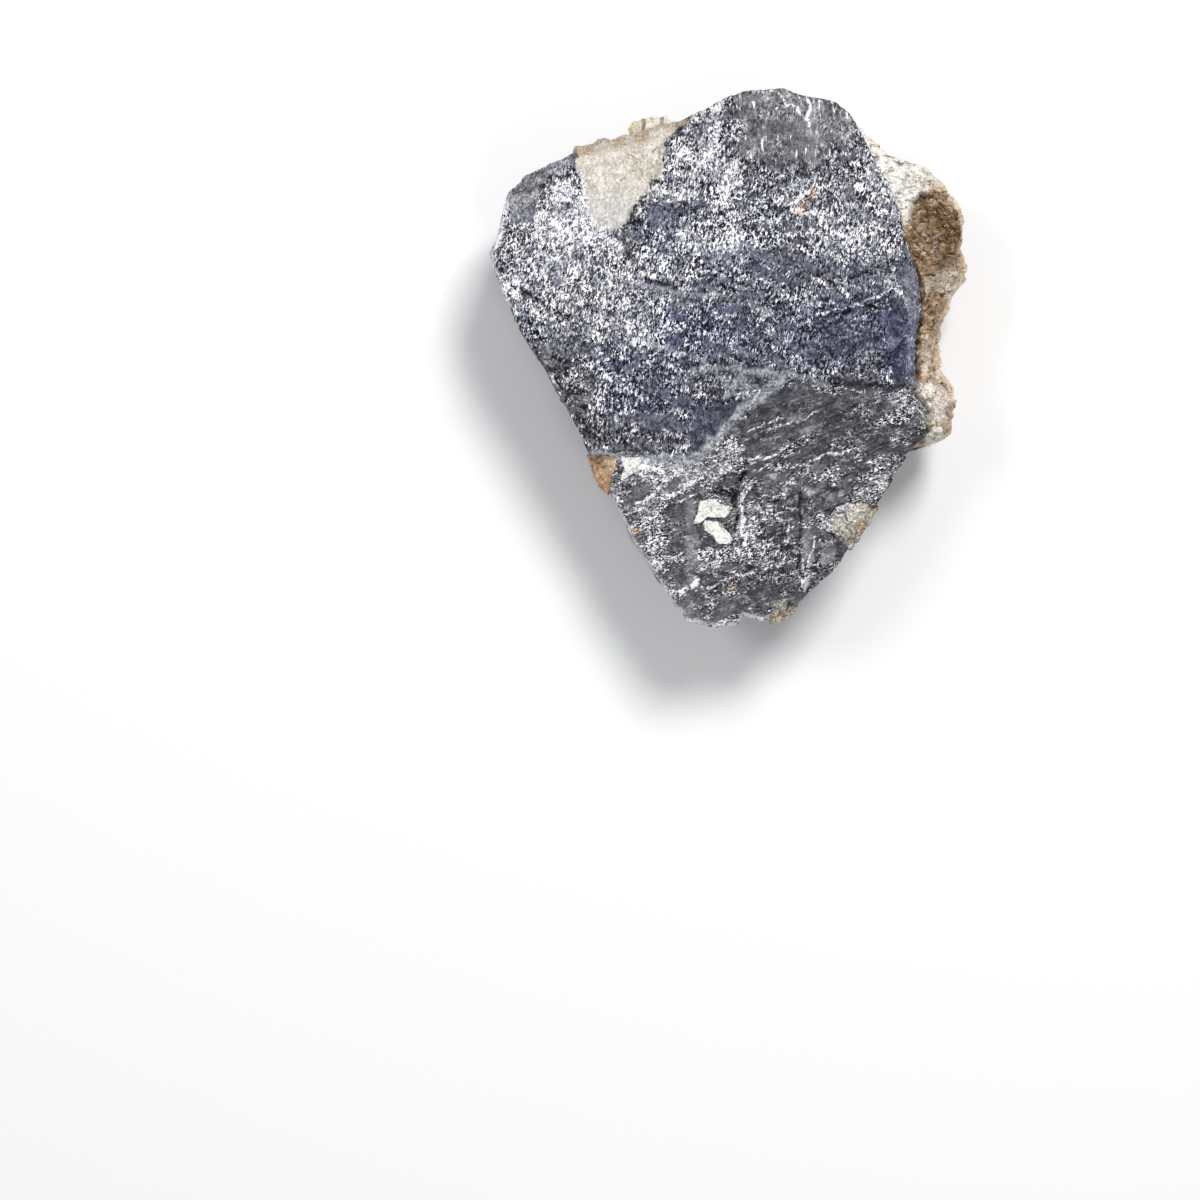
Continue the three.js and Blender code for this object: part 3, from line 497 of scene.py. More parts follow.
# Open cracks and torn steps, cut into the face and painted near black as their shade: depth, half width, path
CRACKS = [
    (0.75, 0.32, [(1.4, -11.5), (0.9, -12.6), (0.46, -14), (0.55, -15.1), (0.9, -15.5), (0.4, -17.4)]),
    (0.4, 0.2, [(-0.9, -13.2), (0.1, -13.6), (0.4, -14.4)]),
    (0.35, 0.2, [(-1.6, -16.4), (-0.4, -16.6), (0.2, -17.2)]),
    (0.35, 0.2, [(7.05, -13.6), (7.1, -16.4), (7, -18.7), (6.7, -21)]),
    (0.3, 0.3, [(-20.8, 6.8), (-19.4, 5.9), (-18.2, 4.9)]),
    (0.35, 0.28, [(-0.2, 20.3), (1.1, 19.8), (2.4, 18.9)]),
    (0.4, 0.4, [(-9.3, 15.4), (-10.2, 13.6), (-10.6, 12), (-10.2, 10.4), (-9.6, 9.6)]),
    (0.3, 0.2, [(-5.8, 21.9), (-4.8, 23)]), (0.22, 0.24, [(-9.5, 8.2), (-5.4, 6.9)]),
    (0.24, 0.22, [(12.1, 8), (14.8, 9)]), (0.18, 0.2, [(9, 4), (13.6, 5), (16.4, 6.4)]),
    (0.3, 0.22, [(-3.4, -14), (-1.6, -13.5), (0.2, -13.6)]),
    (0.2, 0.2, [(2, -20.9), (4.4, -21.6), (6.4, -21.2)]), (0.2, 0.2, [(8.8, -21.3), (10.6, -20.7)]),
    (0.2, 0.16, [(-16.2, 18.4), (-14.9, 17), (-13.8, 16)]),
]
STRIATION_TURN = 19
STRIATION_STEP = 1.5
LADDER_STEPS = (0.85, 1.25)
UPRIGHT_FLAT = (0.42, 0.8, 0.5)
EDGE_WAVE, EDGE_STRAY = 0.9, 0.2
print(len(FROST), "frosted areas,", len(VEINS), "veins,", len(CRACKS), "cracks")

# %% The face's zones and its height


def to_edge(x, y):
    """Distance to the crystal's widest outline, positive inside it."""
    return inside(x, y, CRYSTAL_OUTLINE[:, :2].tolist())


def turned(points, degrees):
    """The points seen along a direction that is turned that far to the left of +X."""
    c, s = math.cos(math.radians(degrees)), math.sin(math.radians(degrees))
    x, y, z = points.T
    return points_at(c * x + s * y, c * y - s * x, z)


def wandering(x, y, size, amount):
    """The same places, pushed about by slow noise, so that no zone has a drawn edge."""
    points = points_at(x, y)
    return x + amount * rough(points, size, 71), y + amount * rough(points, size, 83)


def zones(x, y):
    """How strongly each kind of surface shows at each point of the face, from 0 to 1."""
    wx, wy = wandering(x, y, 2.4, 0.9)
    lower = smooth(inside(wx, wy, TERRACES["toe"][2]), -0.9, 1.2)
    plate = smooth(inside(wx, wy, TERRACES["smooth upper plate"][2]), -0.5, 1.8)
    frost, blue, deep, haze, coarse, ladder = (
        spots(wx, wy, table) for table in (FROST, BLUE, DEEP, HAZE, COARSE, LADDER))
    px, py = wandering(x, y, 0.7, 0.2)
    vein = np.max([s * fade(to_path(px, py, path), 0.25 * w, w) for w, s, path in VEINS], axis=0)
    ridge = np.max([bell(px, py, path, w) for w, path in RIDGES], axis=0)
    crack = np.max([fade(to_path(px, py, path), 0.2 * w, w) for _, w, path in CRACKS], axis=0)
    blue = np.maximum(0.85 * blue, 0.3) * (1 - 0.9 * lower) * (1 - plate) * (1 - coarse)
    frost = frost * (1 - 0.5 * plate)
    # The painted lightness of the face: 0.5 frost² is painted glitter of the frosted flats; deep ovals and the
    # toe are darker
    light = 0.3 + 0.5 * frost**2 - 0.18 * deep - 0.06 * lower
    quiet = 1 - (1 - haze) * (1 - 0.3 * lower * (1 - frost))
    calm = 0.4 - 0.1 * lower + 0.1 * plate - 0.16 * deep
    light = blend(quiet + 0.7 * plate * (1 - quiet), light, calm)
    quiet = 1 - (1 - quiet) * (1 - 0.85 * plate * (1 - 0.6 * frost))
    for lightness, outline in FLATS:
        share = smooth(inside(px, py, outline), -0.12, 0.2)
        light, quiet = blend(share, light, lightness), blend(share, quiet, 0.92)
    return dict(frost=frost, blue=blue, light=light, quiet=quiet, coarse=coarse, ladder=ladder, lower=lower,
                plate=plate, vein=vein, ridge=ridge, crack=crack, stain=spots(px, py, STAIN))


def face_base(x, y):
    """Height of the face without its fine relief: a plane that falls towards the toe, two slow swells and
    the terraces, each a lift with a step of its own width."""
    wx, wy = wandering(x, y, 1.6, 0.35)
    height = FACE_HEIGHT + 0.012 * y
    height = height + 0.16 * np.sin(0.21 * x + 0.9) + 0.14 * np.sin(0.17 * y - 0.11 * x + 0.4)
    for lift, step, outline in TERRACES.values():
        height = height + lift * smooth(inside(wx, wy, outline), -step / 2, step / 2)
    return height


def face_relief(x, y, zone):
    """Fine relief of the face. Wide flats tilt it a little everywhere. Frost adds small upright flats, the
    toe adds striations that step down across their direction, and the ladder adds grooves both ways."""
    points = points_at(x, y)
    bent = points_at(*wandering(x, y, 1.1, 0.45))
    leaning = turned(points, STRIATION_TURN)
    lower, quiet = zone["lower"], zone["quiet"]
    calm = 1 - 0.8 * np.maximum(zone["plate"], quiet)
    crisp = (0.35 + 0.65 * zone["frost"]) * (1 - 0.6 * lower)
    relief = facets(bent, (5.5, 4.0, 5.0), 0.06, 5)
    relief += calm * facets(bent, (2.3, 1.7, 2.0), 0.13, 13)
    relief += calm * 0.14 * scatter(cells(bent, (2.9, 1.9, 2.0), 17)[0], 19)
    relief += 0.05 * rough(points, 1.1, 21)
    relief += crisp * calm * facets(points, UPRIGHT_FLAT, 0.42, 31)
    relief += 0.05 * calm * (1 - lower) * noise(points, (0.35, 2.6, 1.0), 41)
    relief += lower * 0.11 * noise(leaning, (5.0, 0.5, 1.0), 43)
    steps = leaning[:, 1] / STRIATION_STEP + 0.6 * noise(leaning, (6.0, 2.0, 1.0), 47)
    relief += lower * 0.16 * (smooth(steps - np.floor(steps), 0.82, 1.0) - 0.5)
    relief += zone["coarse"] * facets(points, 0.9, 0.5, 53)
    relief += 0.12 * zone["ridge"] + 0.5 * quiet * (zone["light"] - 0.42)
    bent_x, bent_y = wandering(x, y, 1.0, 0.3)
    bars = fade(np.abs((bent_x / LADDER_STEPS[0]) % 1 - 0.5), 0.0, 0.2)
    rungs = fade(np.abs((bent_y / LADDER_STEPS[1]) % 1 - 0.5), 0.0, 0.14)
    return relief - zone["ladder"] * lower * 0.16 * np.maximum(bars, rungs)


def cracks_depth(x, y):
    """How far each open crack cuts into the face: a V with a torn edge."""
    bent = wandering(x, y, 0.6, 0.12)
    return np.sum([depth * fade(to_path(*bent, path), 0, width) for depth, width, path in CRACKS], axis=0)


def recess(x, y):
    """How far the crystal sinks under the minerals that are set into it."""
    bent = wandering(x, y, EDGE_WAVE, EDGE_STRAY)
    sunk = [(0.8 * inlay["depth"] + inlay["proud"]) * smooth(inside(*bent, inlay["outline"]), 0.12, 0.34)
            for inlay in INLAYS.values()]
    return np.max(sunk, axis=0)


print("face heights", np.round(face_base(np.array([-19.0, 6.0, 5.0]), np.array([10.8, 22.0, -17.0])), 2))

# %% [markdown]
# ## The crystal's side and underside
# Corundum parts along planes parallel to its broad face. That leaves a side of thin layers, each broken off
# a little further in or out than the next, and the underside is another such plane, rougher because it was
# torn from the rock. Each layer gets its own slow noise round the stone, and the change from one layer to the
# next is the ledge.

# %% The side's profile and its layers
LAYER = 0.85
SIDE_ROWS = 44
FACE_CELLS = 216
FACE_BEVEL = 0.22
# From rim to foot, each from 0 to 1: the step, how far it has dropped, and how much bevel and undercut it has
PROFILE = np.array([
    (0.0, 0.0, 1.0, 0.0), (0.05, 0.05, 0.55, 0.04), (0.12, 0.13, 0.2, 0.09), (0.28, 0.27, 0.0, 0.18),
    (0.5, 0.47, 0.0, 0.32), (0.72, 0.7, 0.0, 0.58), (0.9, 0.9, 0.0, 0.86), (1.0, 1.0, 0.0, 1.0),
]).T


def chips(points):
    """How far chipping moves the rim and side in or out: a millimetre-size roughness with flats in it."""
    return 0.12 * rough(points, 2.4, 91) + facets(points, (1.6, 1.6, 1.2), 0.1, 97)


def layers(points):
    """The side's ledges: each layer's own slow noise round the stone, plus broad hollows and blocky flats."""
    number = np.floor((points[:, 2] + 0.35 * noise(points, (9.0, 9.0, 60.0), 101)) / LAYER)
    per_layer = points * (1, 1, 0) + number[:, None] * (0, 0, 7.3)
    out = 0.5 * noise(per_layer, (4.5, 4.5, 1.0), 103) + 0.45 * noise(points, (7.0, 7.0, 5.0), 107)
    return out + facets(points, (3.2, 3.2, 2.4), 0.3, 109)


def under_height(x, y):
    """Height of the underside: 0 in the flat spot that the stone rests on, rising and rougher around it."""
    away = np.hypot((x - CENTRE[0]) / FOOT[0], (y - CENTRE[1]) / FOOT[1])
    torn = 0.5 + facets(points_at(x, y), (3.0, 3.4, 3.0), 0.22, 113) + 0.12 * rough(points_at(x, y), 1.2, 117)
    rise = 0.35 * FOOT_RISE + 0.65 * FOOT_RISE * smooth(away, 1.1, 1.6)
    return smooth(away, 1.0, 1.25) * (rise + 0.5 * torn)


def under_inlays(points):
    """How far the side steps back behind a mineral that wraps over the edge: 0.7 mm wherever the point,
    moved 1.2 mm towards the middle, lies in its outline and above its lower end."""
    x, y, z = points.T
    toward = np.hypot(x - CENTRE[0], y - CENTRE[1])
    px = x - 1.2 * (x - CENTRE[0]) / toward
    py = y - 1.2 * (y - CENTRE[1]) / toward
    back = np.zeros(len(points))
    for inlay in INLAYS.values():
        low_end = FACE_HEIGHT - inlay["edge_depth"]
        above = smooth(z, low_end, low_end + 0.4)
        back = np.maximum(back, 0.7 * above * smooth(inside(px, py, inlay["outline"]), 0.0, 0.3))
    return back


# %% Build the crystal


def crystal_points():
    """The crystal's points and what part of it each lies on. The face is the bowed grid stretched to the
    outline less the bevel. The rings below follow the side's profile, moved in and out by the layers. The
    lower grid fills the foot."""
    share, angle = disc(FACE_CELLS)
    length, extra = reach(CRYSTAL_OUTLINE, CENTRE, angle)
    distance = share * (length - FACE_BEVEL * extra[:, 0])
    edge = chips(points_at(*polar(CENTRE, distance, angle), FACE_HEIGHT))
    x, y = polar(CENTRE, distance + share**12 * edge, angle)
    zone = zones(x, y)
    z = face_base(x, y) + face_relief(x, y, zone) - cracks_depth(x, y) - recess(x, y)
    face = points_at(x, y, z - 0.25 * smooth(share, 0.985, 1.0))
    # A painted highlight along the face's rim, on the left edge and round the toe
    left = smooth(-x, 20.5, 22) * fade(y, 15.5, 17) * smooth(y, 4, 7)
    lower = smooth(-y, 9, 12) * fade(x, 3, 8)
    zone["rim"] = smooth(share, 0.978, 0.992) * np.maximum(left, lower)

    rim = rim_of(FACE_CELLS)
    t = np.linspace(0, 1, SIDE_ROWS + 1)[1:, None]
    drop, bevel, undercut = (np.interp(t, PROFILE[0], share_down) for share_down in PROFILE[1:])
    inward = (FACE_BEVEL * extra[rim, 0] * bevel + extra[rim, 1] * undercut).ravel()
    distance = np.tile(length[rim], SIDE_ROWS) - inward
    angle = np.tile(angle[rim], SIDE_ROWS)
    ring = points_at(*polar(CENTRE, distance, angle), blend(drop, face[rim, 2], FOOT_HEIGHT).ravel())
    out = chips(ring) + layers(ring) * np.repeat(smooth(t, 0.02, 0.2), len(rim)) * 0.8
    out = np.minimum(out, np.tile(edge[rim], SIDE_ROWS) + inward) - under_inlays(ring)
    side = points_at(*polar(CENTRE, distance + out, angle), ring[:, 2] + 0.12 * noise(ring, 0.8, 121))

    share, angle = disc(FACE_CELLS // 2)
    length, extra = reach(CRYSTAL_OUTLINE, CENTRE, angle)
    x, y = polar(CENTRE, share * (length - extra[:, 1] - 0.9), angle)
    under = points_at(x, y, under_height(x, y))
    foot_rim = rim_of(FACE_CELLS // 2)
    under[foot_rim, 2] = np.maximum(under[foot_rim, 2], 0.75 * side[-len(rim)::2, 2])
    return face, side, under, zone


face, side, under, zone = crystal_points()
crystal = body("corundum", np.vstack([face, side, under]), *shell_faces(FACE_CELLS, SIDE_ROWS),
               slot="corundum", node="corundum_crystal")
off_points = np.vstack([side, under])
rim = rim_of(FACE_CELLS)
fallen = np.tile(face[rim, 2], SIDE_ROWS) - side[:, 2]
broken = np.concatenate([smooth(fallen, 0.3, 2.6), np.ones(len(under))])
edge_glint = smooth(np.abs(rough(off_points, 1.0, 131)), 0.35, 0.7)
# What takes over from each zone where the side is broken; edge_glint scatters painted glints over it
fillings = dict(frost=0.45 * edge_glint, blue=0.3 + 0.3 * noise(off_points, 6.0, 133), coarse=0.55, lower=0.5,
                light=0.34 + 0.1 * noise(off_points, 2.6, 135), quiet=0.6 * (1 - edge_glint), plate=0.0,
                ladder=0.0, vein=0.0, ridge=0.0, crack=0.0, rim=0.0,
                stain=0.7 * smooth(noise(off_points, 4.0, 137), 0.45, 0.8))
for key, beyond in fillings.items():
    over_edge = np.concatenate([np.tile(zone[key][rim], SIDE_ROWS), np.zeros(len(under))])
    paint(crystal, **{key: np.concatenate([zone[key], blend(broken, over_edge, beyond)])})
paint(crystal, broken_side=np.concatenate([np.zeros(len(face)), broken]))

# %% [markdown]
# ## The set-in minerals
# Each one is a small lozenge of its own: its upper side follows the face, stands a little proud and is broken
# into blocky cleavage flats, and its lower side is as deep as the table says. Feldspar cleaves in steps, so a
# second set of cells lifts or sinks whole blocks.

# %% Build the set-in minerals
PATCH_CREASE = [(-10.2, 20.2), (-9.2, 19.8), (-8.6, 18.2), (-7.4, 16.7)]
# Grain size, how much the grains are lifted and tilted, the grid, how ragged the rim is, its frosted margin
INLAY_LOOKS = {
    "feldspar_patch": dict(slot="feldspar_patch", grain=(1.6, 2.4, 1.6), lift=0.0, tilt=0.05, count=120,
                           rows=24, ragged=0.2, margin=1.7),
    "stained_grain": dict(slot="stained_feldspar", grain=0.9, lift=0.08, tilt=0.3, count=64, rows=16,
                          ragged=0.08, margin=0.25),
    "pale_grain": dict(slot="white_feldspar", grain=(0.6, 0.9, 0.6), lift=0.06, tilt=0.3, count=48, rows=8,
                       ragged=0.08, margin=0.6),
    "inclusion_upper": dict(slot="white_feldspar", grain=(1.2, 0.8, 0.8), lift=0.06, tilt=0.25, count=64,
                            rows=8, ragged=0.05, margin=0.25),
    "inclusion_lower": dict(slot="white_feldspar", grain=0.5, lift=0.06, tilt=0.35, count=56, rows=8,
                            ragged=0.06, margin=0.25),
    "edge_crust": dict(slot="crust", grain=0.6, lift=0.3, tilt=0.5, count=84, rows=16, ragged=0.14,
                       margin=1.3),
    "toe_crust": dict(slot="crust", grain=0.6, lift=0.24, tilt=0.5, count=56, rows=14, ragged=0.12,
                      margin=0.6),
}


def blocks(points, size, lift, seed):
    """Cleaved blocks: each cell lies at its own height, with a groove where two of them meet."""
    own, _, gap = cells(points, size, seed)
    return lift * (scatter(own, seed + 5) - 0.5) - 0.5 * lift * fade(gap, 0.0, 0.16)


def lozenge(outline, upper, lower, count, rows, ragged):
    """Points of a closed lozenge between two surfaces of x and y, with its rim rounded over a quarter of a
    millimetre and roughened in and out. Its outline wanders as the crystal's recess does."""
    outline = np.array(outline)
    middle = outline.mean(axis=0)
    hold = min(1.0, 0.12 * np.ptp(outline[:, 0]))

    def places(share, angle):
        x, y = polar(middle, share * reach(outline, middle, angle)[0], angle)
        push = ragged * share**6 * rough(points_at(x, y), 0.8, 151)
        strays = wandering(x, y, EDGE_WAVE, EDGE_STRAY)
        return polar([2 * a - blend(hold, a, stray) for a, stray in zip((x, y), strays)], push, angle)

    share, angle = disc(count)
    x, y = places(share, angle)
    top = points_at(x, y, upper(x, y) - 0.2 * smooth(share, 0.93, 1.0))
    rim = top[rim_of(count)]
    t = np.linspace(0, 1, rows + 1)[1:, None, None]
    ring = rim + t * points_at(0.0, 0.0, lower(rim[:, 0], rim[:, 1]) - rim[:, 2])
    ring = ring.reshape(-1, 3)
    outward = ring[:, :2] - middle
    outward /= np.linalg.norm(outward, axis=1, keepdims=True)
    ring[:, :2] += outward * (ragged * 1.4 * rough(ring, 0.9, 157))[:, None]
    share, angle = disc(count // 2)
    x, y = places(0.94 * share, angle)
    return np.vstack([top, ring, points_at(x, y, lower(x, y))])


def inlay_body(name):
    """One set-in mineral: the face's height, bevelled off at the stone's edge, plus its blocks."""
    inlay, look = INLAYS[name], INLAY_LOOKS[name]
    grain, grid = look["grain"], (look["count"], look["rows"])

    def upper(x, y):
        bent = points_at(*wandering(x, y, 1.0, 0.5))
        relief = blocks(bent, grain, look["lift"], 161) + facets(bent, grain, look["tilt"], 167)
        relief += 0.05 * rough(points_at(x, y), 0.6, 173)
        return face_base(x, y) + inlay["proud"] + relief - 0.9 * fade(to_edge(x, y), 0.0, 1.7)

    def lower(x, y):
        at_edge = fade(to_edge(x, y), 0.5, 3.5)
        return face_base(x, y) - blend(at_edge, inlay["depth"], inlay["edge_depth"])

    points = lozenge(inlay["outline"], upper, lower, *grid, look["ragged"])
    return body(name + "_mineral", points, *shell_faces(*grid), slot=look["slot"], node=name), points


inlay_bodies = {}
for name, inlay in INLAYS.items():
    inlay_bodies[name], points = inlay_body(name)
    x, y, _ = points.T
    from_edge = to_edge(x, y)
    width = INLAY_LOOKS[name]["margin"]
    margin = fade(inside(x, y, inlay["outline"]), 0.0, width) * smooth(from_edge, 1.0, 2.5)
    lower_end = 0.0
    if name == "feldspar_patch":
        margin *= 1 - 0.85 * smooth(x, -12.8, -11.0)
        lower_end = smooth(-y, -18.5, -14.5)
    paint(inlay_bodies[name], stain=fade(from_edge, 0.2, 1.3) * (0.8 + 0.5 * noise(points, 1.4, 181)),
          margin=np.maximum(0.8 * margin, 0.5 * lower_end * margin**0.5), grey=lower_end,
          crease=bell(*wandering(x, y, 0.7, 0.25), PATCH_CREASE, 0.12))

# %% [markdown]
# ## The block on the top edge
# A squarish block of feldspar sticks out behind the patch. It is the same kind of lozenge with its own
# heights, and its flats are larger, because it is one cleaved crystal and not a crust.

# %% Build the knob
KNOB_OUTLINE = [(-5.5, 22.9), (-5.7, 23.7), (-6.3, 24.5), (-7.3, 24.6), (-9.1, 24.3), (-9.8, 23.9),
                (-10, 22.8), (-9.7, 21), (-8.1, 20.6), (-6.3, 21)]
KNOB_GROOVES = [[(-8.7, 25), (-8.6, 23.6), (-8.9, 22)], [(-6.7, 25), (-6.75, 23.8), (-6.4, 22.4)]]
KNOB_TOP, KNOB_BOTTOM = 12.9, 8.0
KNOB_GRID = 84, 30


def knob_grooves(x, y):
    """1 in the two upright grooves that part the knob into three blocks, 0 beside them."""
    return np.max([bell(x, y, path, 0.16) for path in KNOB_GROOVES], axis=0)


def knob_top(x, y):
    """The knob's upper side: a crowned block with cleavage steps and upright grooves."""
    crown = 0.35 * np.cos(0.9 * (x + 7.8))
    steps = 0.06 * rough(points_at(x, y), 0.7, 191) + facets(points_at(x, y), (1.4, 1.4, 1.0), 0.2, 193)
    return KNOB_TOP - 0.35 + crown + steps - 0.45 * knob_grooves(x, y)


def knob_base(x, y):
    """The knob's lower side, gently uneven."""
    return KNOB_BOTTOM + 0.3 * np.sin(1.1 * x) * np.cos(0.8 * y)


knob_points = lozenge(KNOB_OUTLINE, knob_top, knob_base, *KNOB_GRID, 0.16)
knob = body("feldspar_block", knob_points, *shell_faces(*KNOB_GRID), slot="feldspar_knob",
            node="feldspar_knob")
x, y, z = knob_points.T
# The knob's crease layer marks the top of its grooves, which are painted darker there as their shade
paint(knob, stain=smooth(noise(knob_points, (0.9, 3.0, 3.0), 197), 0.2, 0.8), margin=0.0, grey=0.0,
      crease=0.9 * smooth(z, KNOB_TOP - 2.4, KNOB_TOP - 0.8) * knob_grooves(x, y))

# %% [markdown]
# ## The rind of matrix
# Down the right edge runs what is left of the rock: feldspar, chalky white above, tan and granular in the
# middle, with a pocket of brown mica. It is an oval section carried along the edge, from one station to the
# next, as a rope of putty would be pressed on. The stations give the crystal's edge there and how far the
# rind reaches. Cells then break it into grains, and the pocket is pressed into it from above.

# %% The rind's stations and sections
RIND_STATIONS = np.array([
    (25.3, 11.6, 12.2), (24, 12.3, 13.4), (22.4, 13.2, 14.5), (20.6, 14.2, 16.4), (19.6, 14.8, 20.6),
    (18.2, 15.6, 21.9), (16.8, 16.3, 22.8), (15.2, 16.9, 23.5), (13.4, 17.4, 23.7), (11.4, 17.9, 23.6),
    (9.8, 18.4, 24.3), (8.4, 18.8, 24.1), (6.8, 19.1, 22.9), (5.2, 19.2, 22.4), (3.4, 19, 21.4),
    (1.2, 18.9, 21.3), (-0.8, 18.8, 21.5), (-2.6, 18.7, 22.7), (-4.4, 19.2, 22.9), (-6, 19.9, 22.6),
    (-7.4, 19.8, 22.6), (-8.6, 18.9, 21.2), (-9.5, 18.2, 19.8)])
RIND_MIDDLE, RIND_UP, RIND_DOWN, RIND_ROOT = 8.2, 6.6, 6.0, 2.6
RIND_LENGTHS, RIND_COLUMNS = 480, 180
MICA_OUTLINE = [(23.4, 12.6), (23.4, 14.1), (22.8, 15.5), (21.5, 15.5), (20.6, 16.4), (19.4, 16.5),
                (18.4, 15.7), (18.2, 14.4), (18.7, 13.4), (18.2, 12), (18.5, 10.4), (19.6, 9.6),
                (20.6, 9.2), (21.7, 10.2), (22.9, 11.2)]
MICA_TOP, MICA_BOTTOM, MICA_FALL, MICA_INNER, MICA_MIDDLE = 13.6, 9.4, 0.35, 18.5, 13.0


def mica_level(x):
    """Height of the mica in its pocket, which slopes down outwards."""
    return MICA_TOP - MICA_FALL * (x - MICA_INNER)


def rind_points():
    """The rind as a tube: along it, the stations are interpolated; round it, an oval reaches out to the
    outline, in to its root, and up and down to its own heights. Its ends close on a point."""
    along = np.linspace(0, 1, RIND_LENGTHS)
    station = np.linspace(0, 1, len(RIND_STATIONS))
    y, edge, far = (np.interp(along, station, column)[:, None] for column in RIND_STATIONS.T)
    turn = np.linspace(0, 2 * math.pi, RIND_COLUMNS, endpoint=False)[None, :]
    c, s = np.cos(turn), np.sin(turn)
    end = smooth(np.minimum(along, 1 - along), 0.0, 0.1)[:, None] ** 0.5
    middle = edge - 1
    out = np.where(c > 0, far - middle, RIND_ROOT)
    x = middle + out * (np.sign(c) * np.abs(c) ** 0.8) * np.maximum(end, 0.15)
    rise = np.where(s > 0, RIND_UP, RIND_DOWN) * np.sign(s) * np.abs(s) ** 0.85
    base = points_at(x, y, RIND_MIDDLE + rise * (0.35 + 0.65 * end)).reshape(-1, 3)
    normal = points_at(c + 0 * x, 0.0, s).reshape(-1, 3)
    bent = base + 0.35 * np.stack([rough(base, 1.0, seed) for seed in (221, 223, 225)], axis=1)
    grains = blocks(bent, (1.5, 1.7, 1.3), 0.4, 201) + facets(bent, 1.1, 0.45, 203)
    grains += 0.35 * rough(base, 2.6, 207) + 0.12 * rough(base, 0.6, 209)
    moved = base + normal * (0.75 * grains)[:, None]
    mx, my, mz = moved.T
    tuck = smooth(to_edge(*wandering(mx, my, 1.2, 0.25)), -0.35, 0.35)
    mz -= 1.6 * tuck * (mz > RIND_MIDDLE) * smooth(13.0 - my, 0.0, 6.0)
    pocket = smooth(inside(*wandering(mx, my, 0.8, 0.2), MICA_OUTLINE), -0.2, 0.3) * (mz > RIND_MIDDLE)
    mz[:] = blend(pocket, mz, np.minimum(mica_level(mx) - 0.4, mz))
    return moved, pocket


def tube_faces(lengths, columns):
    """Squares of a closed tube, with a point at each end. The end points come after the grid."""
    grid = np.arange(lengths * columns).reshape(lengths, columns)
    ahead = np.roll(grid, -1, axis=1)
    band = np.stack([grid[:-1], ahead[:-1], ahead[1:], grid[1:]], axis=-1).reshape(-1, 4)
    first, last = lengths * columns, lengths * columns + 1
    start = np.stack([np.full(columns, first), ahead[0], grid[0]], axis=-1)
    close = np.stack([np.full(columns, last), grid[-1], ahead[-1]], axis=-1)
    return band, np.vstack([start, close])


rind_grid, pocket = rind_points()
ends = np.stack([rind_grid[:RIND_COLUMNS].mean(axis=0), rind_grid[-RIND_COLUMNS:].mean(axis=0)])
rind_all = np.vstack([rind_grid, ends])
rind = body("matrix", rind_all, *tube_faces(RIND_LENGTHS, RIND_COLUMNS), slot="feldspar_matrix",
            node="matrix_rind")
x, y, _ = rind_all.T
white = spots(*wandering(x, y, 1.4, 0.7), [
    (14.4, 21.8, 2, 4.6, 24, 1), (18, 18.4, 4.6, 2.4, 20, 1), (17.2, 15.4, 1.4, 2.6, 10, 1),
    (21, -4.4, 2.4, 2.6, 0, 0.6), (19.4, 4.5, 0.7, 0.9, 0, 1), (19.2, 0.4, 0.8, 2, 0, 0.4),
    (21.6, 8, 3, 1.3, 10, 0.45), (19.4, -4.2, 1.4, 1.8, 0, 0.7), (17.4, 16.6, 2.4, 3.4, 20, 0.9),
    (20.6, -8.2, 1.8, 1, 20, 0.9)])
brown = spots(*wandering(x, y, 1, 0.5), [
    (20.8, 12.2, 3.4, 4.4, 0, 0.95), (20.6, 4.6, 1.4, 4, 0, 0.5), (22.6, -6.6, 1, 1.4, 0, 0.5),
    (22.4, -5, 0.5, 0.9, 0, 0.6)])
beyond_rim = x - np.interp(-y, -RIND_STATIONS[:, 0], RIND_STATIONS[:, 2])
paint(rind, white=white, brown=np.maximum(brown, 0.5 * np.concatenate([pocket, [0, 0]])),
      outer_rim=smooth(beyond_rim, -1.1, -0.2))

# %% [markdown]
# ## The mica in its pocket
# Mica grows in stacks of thin flakes. A granular lozenge fills the pocket, and a few hundred small six-sided
# flakes stand in it at all angles. All the flakes are one array: a hexagonal plate, turned by a random
# rotation for each flake and moved to its place.

# %% Build the mica
FLAKES = 760
FLAKE_RADIUS = (0.16, 0.5)
FLAKE_THICKNESS = 0.07
MICA_GRID = 90, 14


def mica_surface(x, y):
    """The mica's upper side: its sloping level, broken into coarse grains."""
    points = points_at(x, y)
    grains = blocks(points, 0.6, 0.4, 211) + facets(points, 0.5, 0.6, 213)
    return mica_level(x) - 0.1 + grains + 0.2 * noise(points, 1.6, 217)


def rotated(first, second, angle):
    """Two of the plates' coordinates, each plate turned by its own angle."""
    c, s = np.cos(angle)[:, None], np.sin(angle)[:, None]
    return first * c - second * s, first * s + second * c


